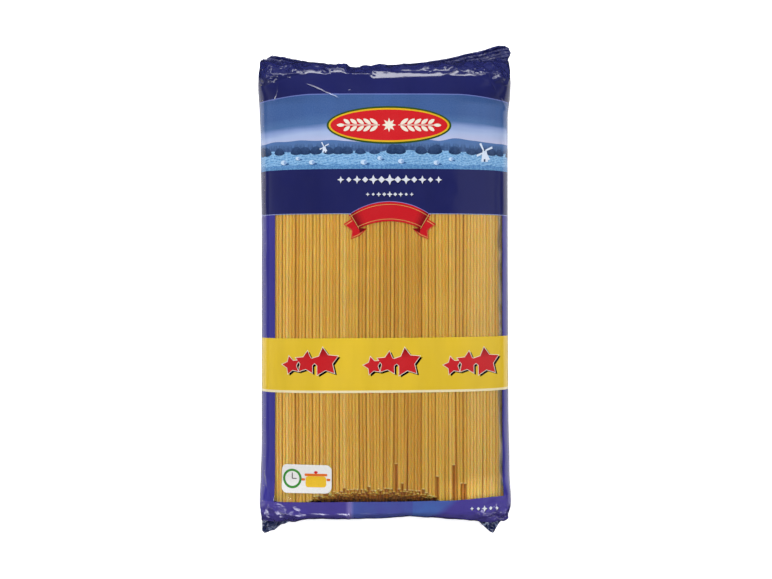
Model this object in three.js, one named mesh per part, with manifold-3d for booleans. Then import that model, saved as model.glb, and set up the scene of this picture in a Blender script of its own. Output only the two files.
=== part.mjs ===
// A two-kilogram packet of spaghetti, lying on its back with the printed front up.
//
// Millimetres, +Z up. X runs across the packet and +Y towards its top end.
// The origin is the middle of the packet's outline, on the table.
//
// The film bag is a pillow: one tube of film, pressed flat and welded at each end, with the side
// film tucked in before the weld. The welded fins are crimped and fold towards the back, and only
// their corners stand out. The front has a clear window, crossed by a printed band, and the strands
// that show behind it are a bundle of their own, in a shallow recess.
//
// Needs the npm packages three and manifold-3d.

import * as THREE from "three";
import { mergeVertices } from "three/addons/utils/BufferGeometryUtils.js";
import { ParametricGeometry } from "three/addons/geometries/ParametricGeometry.js";
import Module from "manifold-3d";

// The packet's body
const BODY_THICKNESS = 50;
const SEAL_LEVEL = 24;
const FRONT_ROUNDNESS = 2.7;
const BACK_ROUNDNESS = 4.2;
const END_ROUNDNESS = 6; // the panels are drawn almost flat next to the welds
const SQUARING = { from: 0.05, to: 0.7 }; // shares of the tucks' length where that happens
const BACK_PRESS = 0.8; // how far the table flattens the back
const SHOULDER_TOP = 124; // where the front panel turns over the top end
const SHOULDER_BOTTOM = -131;
const SEAL_TOP = 136.4; // the weld line, at the middle of each end
const SEAL_BOTTOM = -138.4;
const END_FULLNESS = 1.5;
const TOP_CORNER_REACH = 3; // how much farther out the weld line is at its corners
const BOTTOM_CORNER_REACH = 1.2;
const CORNER = 76; // X of the corners

// Half-widths along the packet, as [Y, half-width], measured to the left and to the right
const LEFT_SIDE = [
  [-140, 75.6],
  [-118, 76.3],
  [-92, 75.6],
  [36, 75.6],
  [92, 76.3],
  [119, 77.2],
  [140, 76.4],
];
const RIGHT_SIDE = [
  [-140, 76.6],
  [-112, 76.3],
  [-68, 75.6],
  [36, 75.2],
  [105, 75.2],
  [118, 76.3],
  [140, 75.8],
];

// The tuck in each side, next to the welds
const TUCK_DEPTH = 19;
const TUCK_LENGTH = 13.6;
const TUCK_HEIGHT = 0.6; // share of the side's height that the tuck takes
const TUCK_CLOSED = 0.93; // share of the end's length where the tuck starts to close

// The welded fins
const FIN_HEIGHT = 11.5;
const FIN_THICKNESS = 0.9;
const FIN_ROOT = 1.2; // how deep a fin starts inside the body
const FIN_LEAN = 0.9; // least that a folded fin stands out from the end
const FIN_INSET = 0.5; // how much narrower a fin is at each side than the bag
const CRIMPS = 5;
const CRIMP_DEPTH = 0.32;

// How much of each fin shows beyond the weld. The rest of it is folded to the back.
const TOP_RIGHT_SHOWS = { from: 0, to: 71, height: 9.8, curve: 1.3 };
const TOP_LEFT_SHOWS = { from: 20, to: 66, height: 4.2, curve: 1 };
const BOTTOM_LEFT_SHOWS = { from: 50, to: 75, height: 9.4, curve: 1 };
const BOTTOM_RIGHT_SHOWS = { from: 49, to: 65, height: 8.2, curve: 1.5 };
const BOTTOM_RIGHT_CUT = { from: 66, to: 76.5 }; // where that ear slopes back to the side

// The window, the band that crosses it, and the recess behind it
const WINDOW = { left: -66, right: 69.7, bottom: -124.7, top: 45 };
const BAND = { bottom: -60.8, top: -28.3 };
const FILM_STEP = 0.7; // film left above the strands at the window's rim and in the band
const RECESS = 6.2;
const CLEARANCE = 0.3;
const CUT_ABOVE = 3; // how far the cutting blocks stand clear of the film

// The strands
const STRAND_DIAMETER = 1.9;
const STRAND_PITCH = 1.94;
const STRAND_SIDES = 6;
const STRAND_STEPS = 2;
const STRAND_SINK = 0.35; // most that one strand lies deeper than its neighbours
const STRAND_SKEW = 0.35; // most that a strand's two ends are out of line
const UNEVEN_ENDS = 2.6;
const ENDS_ARCH = { height: 5.5, middle: 2, reach: 70, curve: 1.6 }; // the ends' line is an arch
const STRAND_SEED = 7;
const CORE_TOP = 2.1; // depth of the bundle's core below the film

// How finely the faces are cut
const PILLOW_AROUND = 52;
const PILLOW_LENGTHWISE = 30;
const END_RINGS = 0.35; // share of the pillow's rings in each end
const FIN_ACROSS = 26;
const WINDOW_ACROSS = 26;
const WINDOW_LENGTHWISE = 4;

const FILM_BLUE = 0x2b2f74;
const PASTA_YELLOW = 0xc8963c;

const clamp = THREE.MathUtils.clamp;
const smooth = THREE.MathUtils.smoothstep;

// A seeded generator, so that the strands are the same each time.
function randomFrom(seed) {
  let state = seed;
  return () => {
    state = (state * 1664525 + 1013904223) % 4294967296;
    return state / 4294967296;
  };
}

// Drops rounding error, so that the front and the back share their points on the weld line.
function exact(value) {
  return Math.round(value * 1e9) / 1e9;
}

// Smooth value at y through a short list of [y, value].
function along(list, y) {
  const last = list.length - 1;
  if (y <= list[0][0]) return list[0][1];
  if (y >= list[last][0]) return list[last][1];
  const next = list.findIndex(([at]) => at > y);
  const [y0, v0] = list[next - 1];
  const [y1, v1] = list[next];
  return v0 + (v1 - v0) * smooth(y, y0, y1);
}

// How far y is into an end: 0 on the body, 1 on the weld line.
function endShare(y) {
  return y > 0
    ? clamp((y - SHOULDER_TOP) / (SEAL_TOP - SHOULDER_TOP), 0, 1)
    : clamp((SHOULDER_BOTTOM - y) / (SHOULDER_BOTTOM - SEAL_BOTTOM), 0, 1);
}

// The share of the full height that is left at y: 1 on the body, 0 on the weld line.
function fullness(y) {
  return Math.pow(1 - Math.pow(endShare(y), END_FULLNESS), 1 / END_FULLNESS);
}

function halfWidth(x, y) {
  return x < 0 ? along(LEFT_SIDE, y) : along(RIGHT_SIDE, y);
}

// 0 on the body, 1 on the weld line, over the length of the tucks.
function nearWeld(y) {
  const seal = y > 0 ? SEAL_TOP : SEAL_BOTTOM;
  return clamp(1 - (Math.abs(seal) - Math.abs(y)) / TUCK_LENGTH, 0, 1);
}

// How square the section is at y.
function roundnessAt(y, body) {
  return body + (END_ROUNDNESS - body) * smooth(nearWeld(y), SQUARING.from, SQUARING.to);
}

// Height of the bag's front above the table.
function frontHeight(x, y) {
  const across = Math.min(Math.abs(x) / halfWidth(x, y), 1);
  const roundness = roundnessAt(y, FRONT_ROUNDNESS);
  const crown = Math.pow(1 - Math.pow(across, roundness), 1 / roundness);
  return SEAL_LEVEL + (BODY_THICKNESS - SEAL_LEVEL) * fullness(y) * crown;
}

// How far the side is tucked in at y, and at a height that runs from -1 to 1 over the side.
function tuck(y, height) {
  const open = 1 - smooth(endShare(y), TUCK_CLOSED, 1);
  const fold = Math.max(0, 1 - Math.abs(height) / TUCK_HEIGHT);
  return TUCK_DEPTH * nearWeld(y) * open * fold;
}

// The corners of each end reach farther out than its middle.
function cornerReach(x, y) {
  const reach = y > 0 ? TOP_CORNER_REACH : -BOTTOM_CORNER_REACH;
  return reach * endShare(y) * Math.pow(x / CORNER, 2);
}

// Y of each ring of the body, closer together where the ends close.
function stationAt(share) {
  const quarter = (s) => Math.sin((s * Math.PI) / 2);
  if (share < END_RINGS) {
    return SHOULDER_BOTTOM + (SEAL_BOTTOM - SHOULDER_BOTTOM) * quarter(1 - share / END_RINGS);
  }
  if (share > 1 - END_RINGS) {
    return SHOULDER_TOP + (SEAL_TOP - SHOULDER_TOP) * quarter((share - 1) / END_RINGS + 1);
  }
  const middle = (share - END_RINGS) / (1 - 2 * END_RINGS);
  return SHOULDER_BOTTOM + (SHOULDER_TOP - SHOULDER_BOTTOM) * middle;
}

// A point on the pillow: around runs once round the section, lengthwise from weld to weld.
function pillowPoint(around, lengthwise, target) {
  const y = stationAt(lengthwise);
  const angle = -around * 2 * Math.PI;
  const across = exact(Math.cos(angle));
  const rise = exact(Math.sin(angle));
  const roundness = roundnessAt(y, rise >= 0 ? FRONT_ROUNDNESS : BACK_ROUNDNESS);
  const share = Math.pow(Math.abs(across), 2 / roundnessAt(y, FRONT_ROUNDNESS));
  const depth = rise >= 0 ? BODY_THICKNESS - SEAL_LEVEL : SEAL_LEVEL + BACK_PRESS;
  const height = Math.sign(rise) * Math.pow(1 - Math.pow(share, roundness), 1 / roundness);
  const x = Math.sign(across) * (share * halfWidth(across, y) - tuck(y, height));
  const z = Math.max(0, SEAL_LEVEL + depth * fullness(y) * height);
  target.set(x, y + cornerReach(x, y), z);
}

const wasm = await Module();
wasm.setup();

// A closed three.js geometry as a solid that can be cut and joined.
function solid(geometry) {
  const plain = geometry.clone();
  plain.deleteAttribute("normal");
  plain.deleteAttribute("uv");
  const merged = mergeVertices(plain, 1e-4);
  return new wasm.Manifold(
    new wasm.Mesh({
      numProp: 3,
      vertProperties: merged.getAttribute("position").array,
      triVerts: new Uint32Array(merged.index.array),
    }),
  );
}

// A solid as a named mesh of its own colour.
function meshOf(name, body, color, roughness) {
  const { vertProperties, triVerts, numProp } = body.getMesh();
  const positions = new Float32Array((vertProperties.length / numProp) * 3);
  for (let i = 0; i < positions.length / 3; i++) {
    for (let k = 0; k < 3; k++) positions[3 * i + k] = vertProperties[numProp * i + k];
  }
  const geometry = new THREE.BufferGeometry();
  geometry.setAttribute("position", new THREE.BufferAttribute(positions, 3));
  geometry.setIndex(new THREE.BufferAttribute(new Uint32Array(triVerts), 1));
  const flat = geometry.toNonIndexed();
  flat.computeVertexNormals();
  const material = new THREE.MeshStandardMaterial({ color, roughness, metalness: 0 });
  const mesh = new THREE.Mesh(flat, material);
  mesh.name = name;
  return mesh;
}

// Moves each vertex of a geometry by a rule on its own place.
function shaped(geometry, rule) {
  const position = geometry.getAttribute("position");
  const point = new THREE.Vector3();
  for (let i = 0; i < position.count; i++) {
    point.fromBufferAttribute(position, i);
    rule(point);
    position.setXYZ(i, point.x, point.y, point.z);
  }
  return geometry;
}

// The closed pillow. Its front and back meet in one line at each weld.
function pillow() {
  return solid(new ParametricGeometry(pillowPoint, PILLOW_AROUND, PILLOW_LENGTHWISE));
}

// How far x is into a stretch: 0 before it, 1 past it.
function into(stretch, x) {
  return clamp((x - stretch.from) / (stretch.to - stretch.from), 0, 1);
}

// How far a fin's edge shows beyond the weld at x.
function ear(shape, x) {
  return shape.height * Math.pow(into(shape, x), shape.curve);
}

function topFinShows(x) {
  return ear(TOP_RIGHT_SHOWS, x) + ear(TOP_LEFT_SHOWS, -x);
}

function bottomFinShows(x) {
  const right = ear(BOTTOM_RIGHT_SHOWS, x) * (1 - into(BOTTOM_RIGHT_CUT, x));
  return right + ear(BOTTOM_LEFT_SHOWS, -x);
}

// A crimped fin on the weld at one end. shows gives how far it stands out along the packet.
function fin(end, shows) {
  const seal = end > 0 ? SEAL_TOP : SEAL_BOTTOM;
  const left = halfWidth(-1, seal) - FIN_INSET;
  const right = halfWidth(1, seal) - FIN_INSET;
  const rows = 2 * CRIMPS + 1; // one for the root, and one for each face of a crimp
  const strip = new THREE.BoxGeometry(left + right, rows, FIN_THICKNESS, FIN_ACROSS, rows, 1);
  strip.translate((right - left) / 2, rows / 2, 0);
  return solid(
    shaped(strip, (p) => {
      const row = Math.round(p.y);
      const out = row === 0 ? -FIN_ROOT : ((row - 1) / (rows - 1)) * FIN_HEIGHT;
      const root = seal + cornerReach(p.x, seal);
      const fold = out > 0 ? Math.acos(Math.max(shows(p.x), FIN_LEAN) / FIN_HEIGHT) : 0;
      const crimp = out > 0 ? CRIMP_DEPTH * (row % 2 === 0 ? 1 : -1) : 0;
      const clear = (FIN_THICKNESS / 2 + CRIMP_DEPTH) * Math.sin(fold);
      const off = p.z + crimp + end * clear;
      p.y = root + end * out * Math.cos(fold) + off * Math.sin(fold);
      p.z = SEAL_LEVEL - out * Math.sin(fold) + end * off * Math.cos(fold);
    }),
  );
}

// A block over part of the front, from a depth below the film up to a rise above it.
function underFront(area, depth, rise) {
  const width = area.right - area.left;
  const length = area.top - area.bottom;
  const block = new THREE.BoxGeometry(width, length, 1, WINDOW_ACROSS, WINDOW_LENGTHWISE, 1);
  block.translate((area.left + area.right) / 2, (area.bottom + area.top) / 2, 0);
  return shaped(block, (p) => {
    p.z = frontHeight(p.x, p.y) + (p.z > 0 ? rise : -depth);
  });
}

// The bag with its fins and its window. The window's band is left as film.
function filmBag() {
  const hollow = solid(underFront(WINDOW, RECESS, CUT_ABOVE));
  const bandArea = { left: WINDOW.left - CUT_ABOVE, right: WINDOW.right + CUT_ABOVE, ...BAND };
  const band = solid(underFront(bandArea, FILM_STEP, 2 * CUT_ABOVE));
  return pillow()
    .add(fin(1, topFinShows))
    .add(fin(-1, bottomFinShows))
    .subtract(hollow.subtract(band));
}

// One strand of the window's row, from its uneven lower end to the window's upper rim.
function strand(x, random) {
  const aside = Math.abs(x - ENDS_ARCH.middle) / ENDS_ARCH.reach;
  const arch = ENDS_ARCH.height * (1 - Math.pow(aside, ENDS_ARCH.curve));
  const lowEnd = WINDOW.bottom + CLEARANCE + Math.max(0, arch + UNEVEN_ENDS * (random() - 0.5));
  const highEnd = WINDOW.top - CLEARANCE;
  const radius = STRAND_DIAMETER / 2;
  const sink = STRAND_SINK * random();
  const skew = STRAND_SKEW * (random() - 0.5);
  const rod = new THREE.CylinderGeometry(
    radius,
    radius,
    highEnd - lowEnd,
    STRAND_SIDES,
    STRAND_STEPS,
  );
  rod.translate(x, (lowEnd + highEnd) / 2, 0);
  return solid(
    shaped(rod, (p) => {
      const share = (p.y - lowEnd) / (highEnd - lowEnd);
      p.z += frontHeight(x, p.y) - FILM_STEP - CLEARANCE - radius - sink;
      p.x += skew * (share - 0.5);
    }),
  );
}

// The strands that show in the window, fused on a core that stands for those below them.
function bundle() {
  const random = randomFrom(STRAND_SEED);
  const inside = {
    left: WINDOW.left + CLEARANCE,
    right: WINDOW.right - CLEARANCE,
    bottom: WINDOW.bottom + CLEARANCE,
    top: WINDOW.top - CLEARANCE,
  };
  const room = inside.right - inside.left - STRAND_DIAMETER - STRAND_SKEW;
  const count = Math.floor(room / STRAND_PITCH) + 1;
  const first = (inside.left + inside.right) / 2 - ((count - 1) / 2) * STRAND_PITCH;
  const rods = [];
  for (let i = 0; i < count; i++) rods.push(strand(first + i * STRAND_PITCH, random));
  const block = underFront(inside, RECESS - CLEARANCE, -CORE_TOP);
  return rods.reduce((sum, rod) => sum.add(rod), solid(block));
}

const packet = new THREE.Group();
packet.add(meshOf("film_bag", filmBag(), FILM_BLUE, 0.3));
packet.add(meshOf("spaghetti", bundle(), PASTA_YELLOW, 0.6));

// Bring the middle of the outline to the origin.
const outline = new THREE.Box3().setFromObject(packet);
const middle = outline.getCenter(new THREE.Vector3());
for (const mesh of packet.children) mesh.position.set(-middle.x, -middle.y, -outline.min.z);

export default packet;
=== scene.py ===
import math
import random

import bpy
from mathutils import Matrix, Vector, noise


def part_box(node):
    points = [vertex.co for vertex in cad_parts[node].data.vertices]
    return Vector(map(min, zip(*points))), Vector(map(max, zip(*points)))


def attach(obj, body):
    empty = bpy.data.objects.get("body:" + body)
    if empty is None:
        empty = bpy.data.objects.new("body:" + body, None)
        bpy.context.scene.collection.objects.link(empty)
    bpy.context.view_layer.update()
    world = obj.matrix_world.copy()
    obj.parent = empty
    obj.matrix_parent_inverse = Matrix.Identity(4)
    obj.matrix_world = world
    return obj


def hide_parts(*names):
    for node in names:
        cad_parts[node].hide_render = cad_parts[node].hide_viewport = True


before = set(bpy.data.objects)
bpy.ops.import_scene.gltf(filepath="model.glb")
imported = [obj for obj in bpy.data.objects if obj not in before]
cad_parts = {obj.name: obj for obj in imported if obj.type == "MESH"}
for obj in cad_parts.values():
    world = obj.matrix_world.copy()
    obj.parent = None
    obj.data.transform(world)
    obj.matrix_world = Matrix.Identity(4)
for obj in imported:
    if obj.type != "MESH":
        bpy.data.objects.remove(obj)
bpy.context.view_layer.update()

# A film packet of long spaghetti on its back: printed film, a clear window, and the strands in it.
#
# Shapes are worked out in millimetres, in the packet's own coordinates. to_frame turns them into
# the frame's metres. X runs across the packet, Y towards its top end and Z up.

MM = 0.001

# The packet's body
BODY_THICKNESS = 50
SEAL_LEVEL = 24
FRONT_ROUNDNESS = 2.7
BACK_ROUNDNESS = 4.2
END_ROUNDNESS = 6
SQUARING_LENGTH = 26
SQUARING = (0.0, 0.75)
BACK_PRESS = 0.8
SHOULDER_TOP = 124
SHOULDER_BOTTOM = -131
SEAL_TOP = 136.4
SEAL_BOTTOM = -138.4
END_FULLNESS = 2.1
TOP_CORNER_REACH = 3
BOTTOM_CORNER_REACH = 1.2
CORNER = 76
# Half-width of the bag at each side, as (Y, half-width)
LEFT_SIDE = ((-140, 75.6), (-118, 76.3), (-92, 75.6), (36, 75.6), (92, 76.3), (119, 77.2), (140, 76.4))
RIGHT_SIDE = (
    (-140, 74.2), (-128, 76.4), (-112, 76.3), (-68, 75.6),
    (36, 75.2), (105, 75.2), (118, 76.3), (140, 75.8),
)
TUCK_DEPTH = 19
TUCK_LENGTH = 13.6
TUCK_HEIGHT = 0.6
TUCK_CLOSED = 0.93
TUCK_START = (0.1, 0.7)

# The welded fins
FIN_HEIGHT = 11.5
FIN_THICKNESS = 0.5
FIN_ROOT = 1.2
FIN_LEFT = -75.5
FIN_RIGHT = 75.3
CRIMPS = 5.5
CRIMP_DEPTH = 0.28
FIN_BEND = 1.6

# The window and the band that is printed across it
WINDOW_LEFT = -66
WINDOW_RIGHT = 70.9
WINDOW_BOTTOM = -124.7
WINDOW_TOP = 45
BAND_BOTTOM = -60.8
BAND_LINE = -59.4
BAND_TOP = -28.3
PANEL_TOP = 71.7
PICTURE_TOP = 116.2
PICTURE_LINE = 0.5
PRINT_SAG = 2.6
FILM = 0.06

# The film's mesh
OUTER_COLUMNS = 14
WINDOW_COLUMNS = 130
BACK_COLUMNS = 40
BACK_OUTER_COLUMNS = 9
BACK_FLAT = 60
BACK_LIFT = 0.3

# The strands
STRAND = 1.9
# The strands touch over a little width, as they are pressed together
STRAND_WIDTH = 1.99
FILM_GAP = 0.35
LAYER_DROP = 1.6

# The frame's shift from the packet's own coordinates, from where the spaghetti lies in the frame
NODE_CLEARANCE = 0.3
pasta_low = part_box("spaghetti")[0]
SHIFT_X = pasta_low.x - (WINDOW_LEFT + NODE_CLEARANCE) * MM
SHIFT_Y = pasta_low.y - (WINDOW_BOTTOM + NODE_CLEARANCE) * MM


def to_frame(x, y, z):
    return Vector((x * MM + SHIFT_X, y * MM + SHIFT_Y, z * MM))


def clamp(value, low=0.0, high=1.0):
    return max(low, min(high, value))


def into(start, end, x):
    return clamp((x - start) / (end - start))


def smooth(value, start, end):
    """0 before start, 1 past end, and a smooth step between them."""
    share = clamp((value - start) / (end - start))
    return share * share * (3 - 2 * share)


def mix(a, b, share):
    return a + (b - a) * share


# The camera looks straight down on the packet, from the photograph's distance.
CAMERA_PLACE = (0.6, 0.3, 684)
CAMERA_LENS = 50


def add_camera():
    bpy.ops.object.camera_add(location=to_frame(*CAMERA_PLACE), rotation=(0, 0, 0))
    camera = bpy.context.object
    camera.data.lens = CAMERA_LENS
    camera.data.sensor_width = 36
    camera.data.clip_start = 0.01
    bpy.context.scene.camera = camera


add_camera()


# The form of the bag, as in the CAD model


def along(stations, y):
    """Smooth value at y through a short list of (y, value)."""
    if y <= stations[0][0]:
        return stations[0][1]
    for (y0, v0), (y1, v1) in zip(stations, stations[1:]):
        if y < y1:
            return mix(v0, v1, smooth(y, y0, y1))
    return stations[-1][1]


def end_share(y):
    """How far y is into an end: 0 on the body, 1 on the weld line."""
    if y > 0:
        return clamp((y - SHOULDER_TOP) / (SEAL_TOP - SHOULDER_TOP))
    return clamp((SHOULDER_BOTTOM - y) / (SHOULDER_BOTTOM - SEAL_BOTTOM))


def fullness(y):
    return (1 - end_share(y) ** END_FULLNESS) ** (1 / END_FULLNESS)


def half_width(side, y):
    return along(LEFT_SIDE if side < 0 else RIGHT_SIDE, y)


def seal_line(y):
    return SEAL_TOP if y > 0 else SEAL_BOTTOM


def near_weld(y, length):
    return clamp(1 - (abs(seal_line(y)) - abs(y)) / length)


def roundness_at(y, body):
    return mix(body, END_ROUNDNESS, smooth(near_weld(y, SQUARING_LENGTH), *SQUARING))


def crown(share, roundness):
    """Height share of a rounded section at a share of its half-width."""
    return max(0.0, 1 - min(share, 1.0) ** roundness) ** (1 / roundness)


def front_height(x, y):
    share = abs(x) / half_width(x, y)
    rise = BODY_THICKNESS - SEAL_LEVEL
    return SEAL_LEVEL + rise * fullness(y) * crown(share, roundness_at(y, FRONT_ROUNDNESS))


def tuck(y, height):
    """How far the side film is tucked in at a height share between -1 and 1."""
    open_share = 1 - smooth(end_share(y), TUCK_CLOSED, 1)
    fold = max(0.0, 1 - abs(height) / TUCK_HEIGHT)
    near = near_weld(y, TUCK_LENGTH)
    return TUCK_DEPTH * near * smooth(near, *TUCK_START) * open_share * fold


def corner_reach(x, y):
    reach = TOP_CORNER_REACH if y > 0 else -BOTTOM_CORNER_REACH
    return reach * end_share(y) * (x / CORNER) ** 2


# How the filled film slackens at its ends: millimetres along Y, as (X, shift)
TOP_SLACK = (
    (-76, 1.6), (-44, 1.6), (-27, 0.0), (-14, -0.9), (2, 0.3),
    (14, 1.6), (27, 2.4), (40, 1.8), (76, 1.4),
)
BOTTOM_SLACK = (
    (-76, -1.6), (-56, -1.5), (-42, -0.4), (-27, -0.8), (0, -0.2),
    (16, 0.9), (27, 0.2), (45, -0.9), (60, -1.2), (76, -1.0),
)
# Shift of the window's lower edge, and where each of the three shifts sets in on Y
LINE_SLACK = ((-76, -1.2), (-60, -1.0), (0, -0.6), (35, 0.0), (69, 2.0), (76, 2.2))
TOP_SLACK_START = (120, 135)
BOTTOM_SLACK_START = (127, 136)
LINE_SLACK_START = (100, 122)
# The band runs a little uphill, and so does the film round it
BAND_TILT = 0.0085
TILT_TOP = 40
TILT_FADE = 60
TILT_BOTTOM = (-105, -75)


def slack(x, y):
    """Shift of the film along Y at its ends, and of the window's lower edge."""
    tilt = BAND_TILT * x * smooth(TILT_TOP - y, 0, TILT_FADE)
    if y > 0:
        return along(TOP_SLACK, x) * smooth(y, *TOP_SLACK_START) + tilt
    ends = smooth(-y, *BOTTOM_SLACK_START)
    line = smooth(-y, *LINE_SLACK_START) * (1 - ends)
    return along(BOTTOM_SLACK, x) * ends + along(LINE_SLACK, x) * line + tilt * smooth(y, *TILT_BOTTOM)


# Folds and creases in the film

FOLD_SEED = 11
FOLD_COUNT = 9
FOLD_SLOPE = 0.15
FOLD_TILT = 0.6
FOLD_LENGTHS = (5, 15)
FOLD_WARP = 5
FOLD_WARP_SCALE = 0.07
# Creases on the front, as (x, y) to (x, y), height and width
CREASES = (
    ((-47.0, 122.3), (-26.2, 113.1), 0.3, 2.0),
    ((34.0, 127.0), (44.0, 131.6), 0.4, 2.0),
    ((31.0, 132.5), (52.0, 136.0), 0.4, 2.0),
    ((64.5, 118.5), (73.5, 109.6), 0.6, 2.0),
    ((62.5, 119.6), (71.0, 133.0), 0.5, 2.2),
    ((-71.5, -108.0), (-69.8, -118.5), 0.45, 1.6),
    ((-67.0, -130.5), (-52.5, -133.5), 0.6, 2.2),
    ((-22.5, -125.5), (-22.0, -138.0), 0.25, 2.4),
    ((56.0, -132.5), (68.0, -131.0), 0.4, 2.0),
    ((70.0, -134.0), (76.5, -127.0), 0.5, 1.8),
)


def fold_directions():
    draw = random.Random(FOLD_SEED)
    folds = []
    for _ in range(FOLD_COUNT):
        turn = draw.uniform(0, math.pi)
        tilt = draw.uniform(-FOLD_TILT, FOLD_TILT)
        direction = Vector((math.cos(turn), math.sin(turn), tilt)).normalized()
        folds.append((direction, draw.uniform(*FOLD_LENGTHS), draw.random()))
    return folds


FOLDS = fold_directions()


def crumple(point):
    """Crossing sharp folds, all about as steep, in millimetres."""
    warp = FOLD_WARP * noise.noise(point * FOLD_WARP_SCALE)
    total = 0.0
    for direction, length, phase in FOLDS:
        run = (point.dot(direction) + warp) / length + phase
        total += (abs(2 * (run - math.floor(run)) - 1) - 0.5) * length * FOLD_SLOPE / 2
    return total


def crease_height(x, y):
    """The ridges of the named creases at a place on the front."""
    total = 0.0
    for (x0, y0), (x1, y1), height, width in CREASES:
        span = math.hypot(x1 - x0, y1 - y0)
        run = ((x - x0) * (x1 - x0) + (y - y0) * (y1 - y0)) / span
        if run < -width or run > span + width:
            continue
        across = abs((x - x0) * (y1 - y0) - (y - y0) * (x1 - x0)) / span
        ends = smooth(run, -width, 0.25 * span) * smooth(span + width - run, 0, 0.25 * span)
        total += height * ends * max(0.0, 1 - across / width) ** 1.3
    return total


# Sharp creases that the gloss shows, as (x, y) to (x, y) and half-width
SHARP_CREASES = (
    ((-46.8, 122.2), (-34.0, 116.6), 0.85),
    ((-37.0, 117.8), (-26.2, 113.1), 0.75),
    ((-21.9, 118.0), (-19.8, 118.5), 0.5),
    ((-58.6, 127.6), (-55.0, 124.3), 0.7),
    ((-65.1, 128.6), (-63.3, 126.1), 0.6),
    ((-63.0, 123.9), (-64.6, 117.0), 0.6),
    ((-64.6, 117.0), (-67.7, 112.5), 0.6),
    ((25.1, 128.6), (31.7, 133.2), 0.6),
    ((35.3, 127.1), (43.9, 131.2), 0.8),
    ((33.2, 132.6), (46.2, 134.8), 0.9),
    ((62.8, 123.6), (66.9, 117.4), 0.6),
    ((67.9, 115.9), (72.0, 112.8), 0.8),
    ((-65.5, -123.6), (-54.5, -124.0), 1.2),
    ((-72.9, -109.0), (-70.5, -119.0), 1.1),
    ((-70.5, -119.0), (-65.5, -126.2), 0.8),
    ((-66.7, -127.5), (-59.0, -128.5), 0.7),
    ((-64.6, -130.5), (-55.5, -133.6), 1.2),
    ((-55.0, -128.5), (-49.3, -130.5), 1.1),
    ((-21.2, -125.5), (-20.8, -137.0), 0.9),
    ((33.0, -134.4), (50.0, -136.6), 1.3),
    ((56.0, -132.5), (68.0, -131.0), 0.8),
    ((70.0, -134.0), (76.5, -127.0), 1.0),
    ((62.0, -137.0), (70.0, -131.0), 0.9),
)
CREASE_SLOPE = 0.36
CREASE_REACH = 2.2
# Distance and height of the sharp crease where there is none
NO_CREASE = (0.0, -0.5)


def sharp_crease(x, y):
    """Distance to the nearest sharp crease and its height there, for the gloss."""
    gap, height = NO_CREASE
    for start, end, width in SHARP_CREASES:
        run = Vector(end) - Vector(start)
        away = Vector((x, y)) - Vector(start)
        share = away.dot(run) / run.length_squared
        across = (away.x * run.y - away.y * run.x) / run.length
        if not -0.3 < share < 1.3 or abs(across) > width + CREASE_REACH:
            continue
        rise = CREASE_SLOPE * width * (1 - (2 * share - 1) ** 2)
        if rise - CREASE_SLOPE * abs(across) > height - CREASE_SLOPE * abs(gap):
            gap, height = across, rise
    return gap, height


# Facets of the folded film at the top shoulder. Each starts at Y = low on the plain form, runs on
# nearly level to a fold, leans back from there to its top and then drops:
# X from and to, low, fold, and top at its left and right end
FACETS = (
    (-73.0, -7.0, 124.4, 128.4, 128.4, 128.4),
    (-48.0, -35.5, 124.4, 128.6, 130.8, 130.4),
    (-35.0, -21.0, 124.4, 129.2, 131.6, 132.6),
    (-5.0, 37.0, 126.2, 126.2, 130.4, 127.6),
    (36.0, 73.0, 124.4, 127.4, 127.4, 127.4),
)
FACET_SLOPES = (0.05, 0.275, 2.2)
FACET_END = 2.5
FACET_SLANT = -1.3
FACET_LIMIT = 136


def facet_rise(place):
    """How far the film is lifted onto a facet at a point of the plain form."""
    rise = 0.0
    level, lean, drop = FACET_SLOPES
    for start, end, low, fold, left_top, right_top in FACETS:
        start += FACET_SLANT * (place.y - fold)
        if not (start < place.x < end and low < place.y < FACET_LIMIT):
            continue
        top = mix(left_top, right_top, into(start, end, place.x))
        base = front_height(place.x, low - slack(place.x, low) - corner_reach(place.x, low))
        plane = base - level * (min(place.y, fold) - low)
        plane -= lean * clamp(place.y - fold, 0.0, top - fold) + drop * max(0.0, place.y - top)
        ends = smooth(place.x, start, start + FACET_END) * smooth(end - place.x, 0, FACET_END)
        rise = max(rise, ends * (plane - place.z))
    return rise


# Where the crumpling sets in: across, from the middle to the corners, and along. It starts
# earlier at the corners, and the middle has a share of it
CRUMPLE_CORNER = (40, 70)
CRUMPLE_SIDE = (70, 76)
CRUMPLE_SIDE_LOSS = 0.75
CRUMPLE_TOP = (127, 134, 8, 0.7)
CRUMPLE_BOTTOM = (124, 133, 7, 0.15)


def crumple_amount(x, y):
    corner = smooth(abs(x), *CRUMPLE_CORNER)
    side = 1 - CRUMPLE_SIDE_LOSS * smooth(abs(x), *CRUMPLE_SIDE)
    start, end, earlier, share = CRUMPLE_TOP if y > 0 else CRUMPLE_BOTTOM
    return side * mix(share, 1, corner) * smooth(abs(y), start - earlier * corner, end)


# Slow waves of the flat film: their height. Quick waves: their height in the middle and how much
# more they have near the sides. How far the film lies under the plain form
SLOW_WAVES = 0.14
QUICK_WAVES = (0.02, 0.1)
WAVY_SIDES = (52, 72)
RIPPLE_DROP = 0.12


def ripple(x, y):
    """Waves that the strands and the sealing leave in the flat film."""
    slow = noise.noise(Vector((x * 0.06, y * 0.03, 3)))
    quick = noise.noise(Vector((x * 0.21, y * 0.07, 9)))
    middle, more = QUICK_WAVES
    quick_waves = middle + more * smooth(abs(x), *WAVY_SIDES)
    return SLOW_WAVES * slow + quick_waves * quick - RIPPLE_DROP


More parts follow.
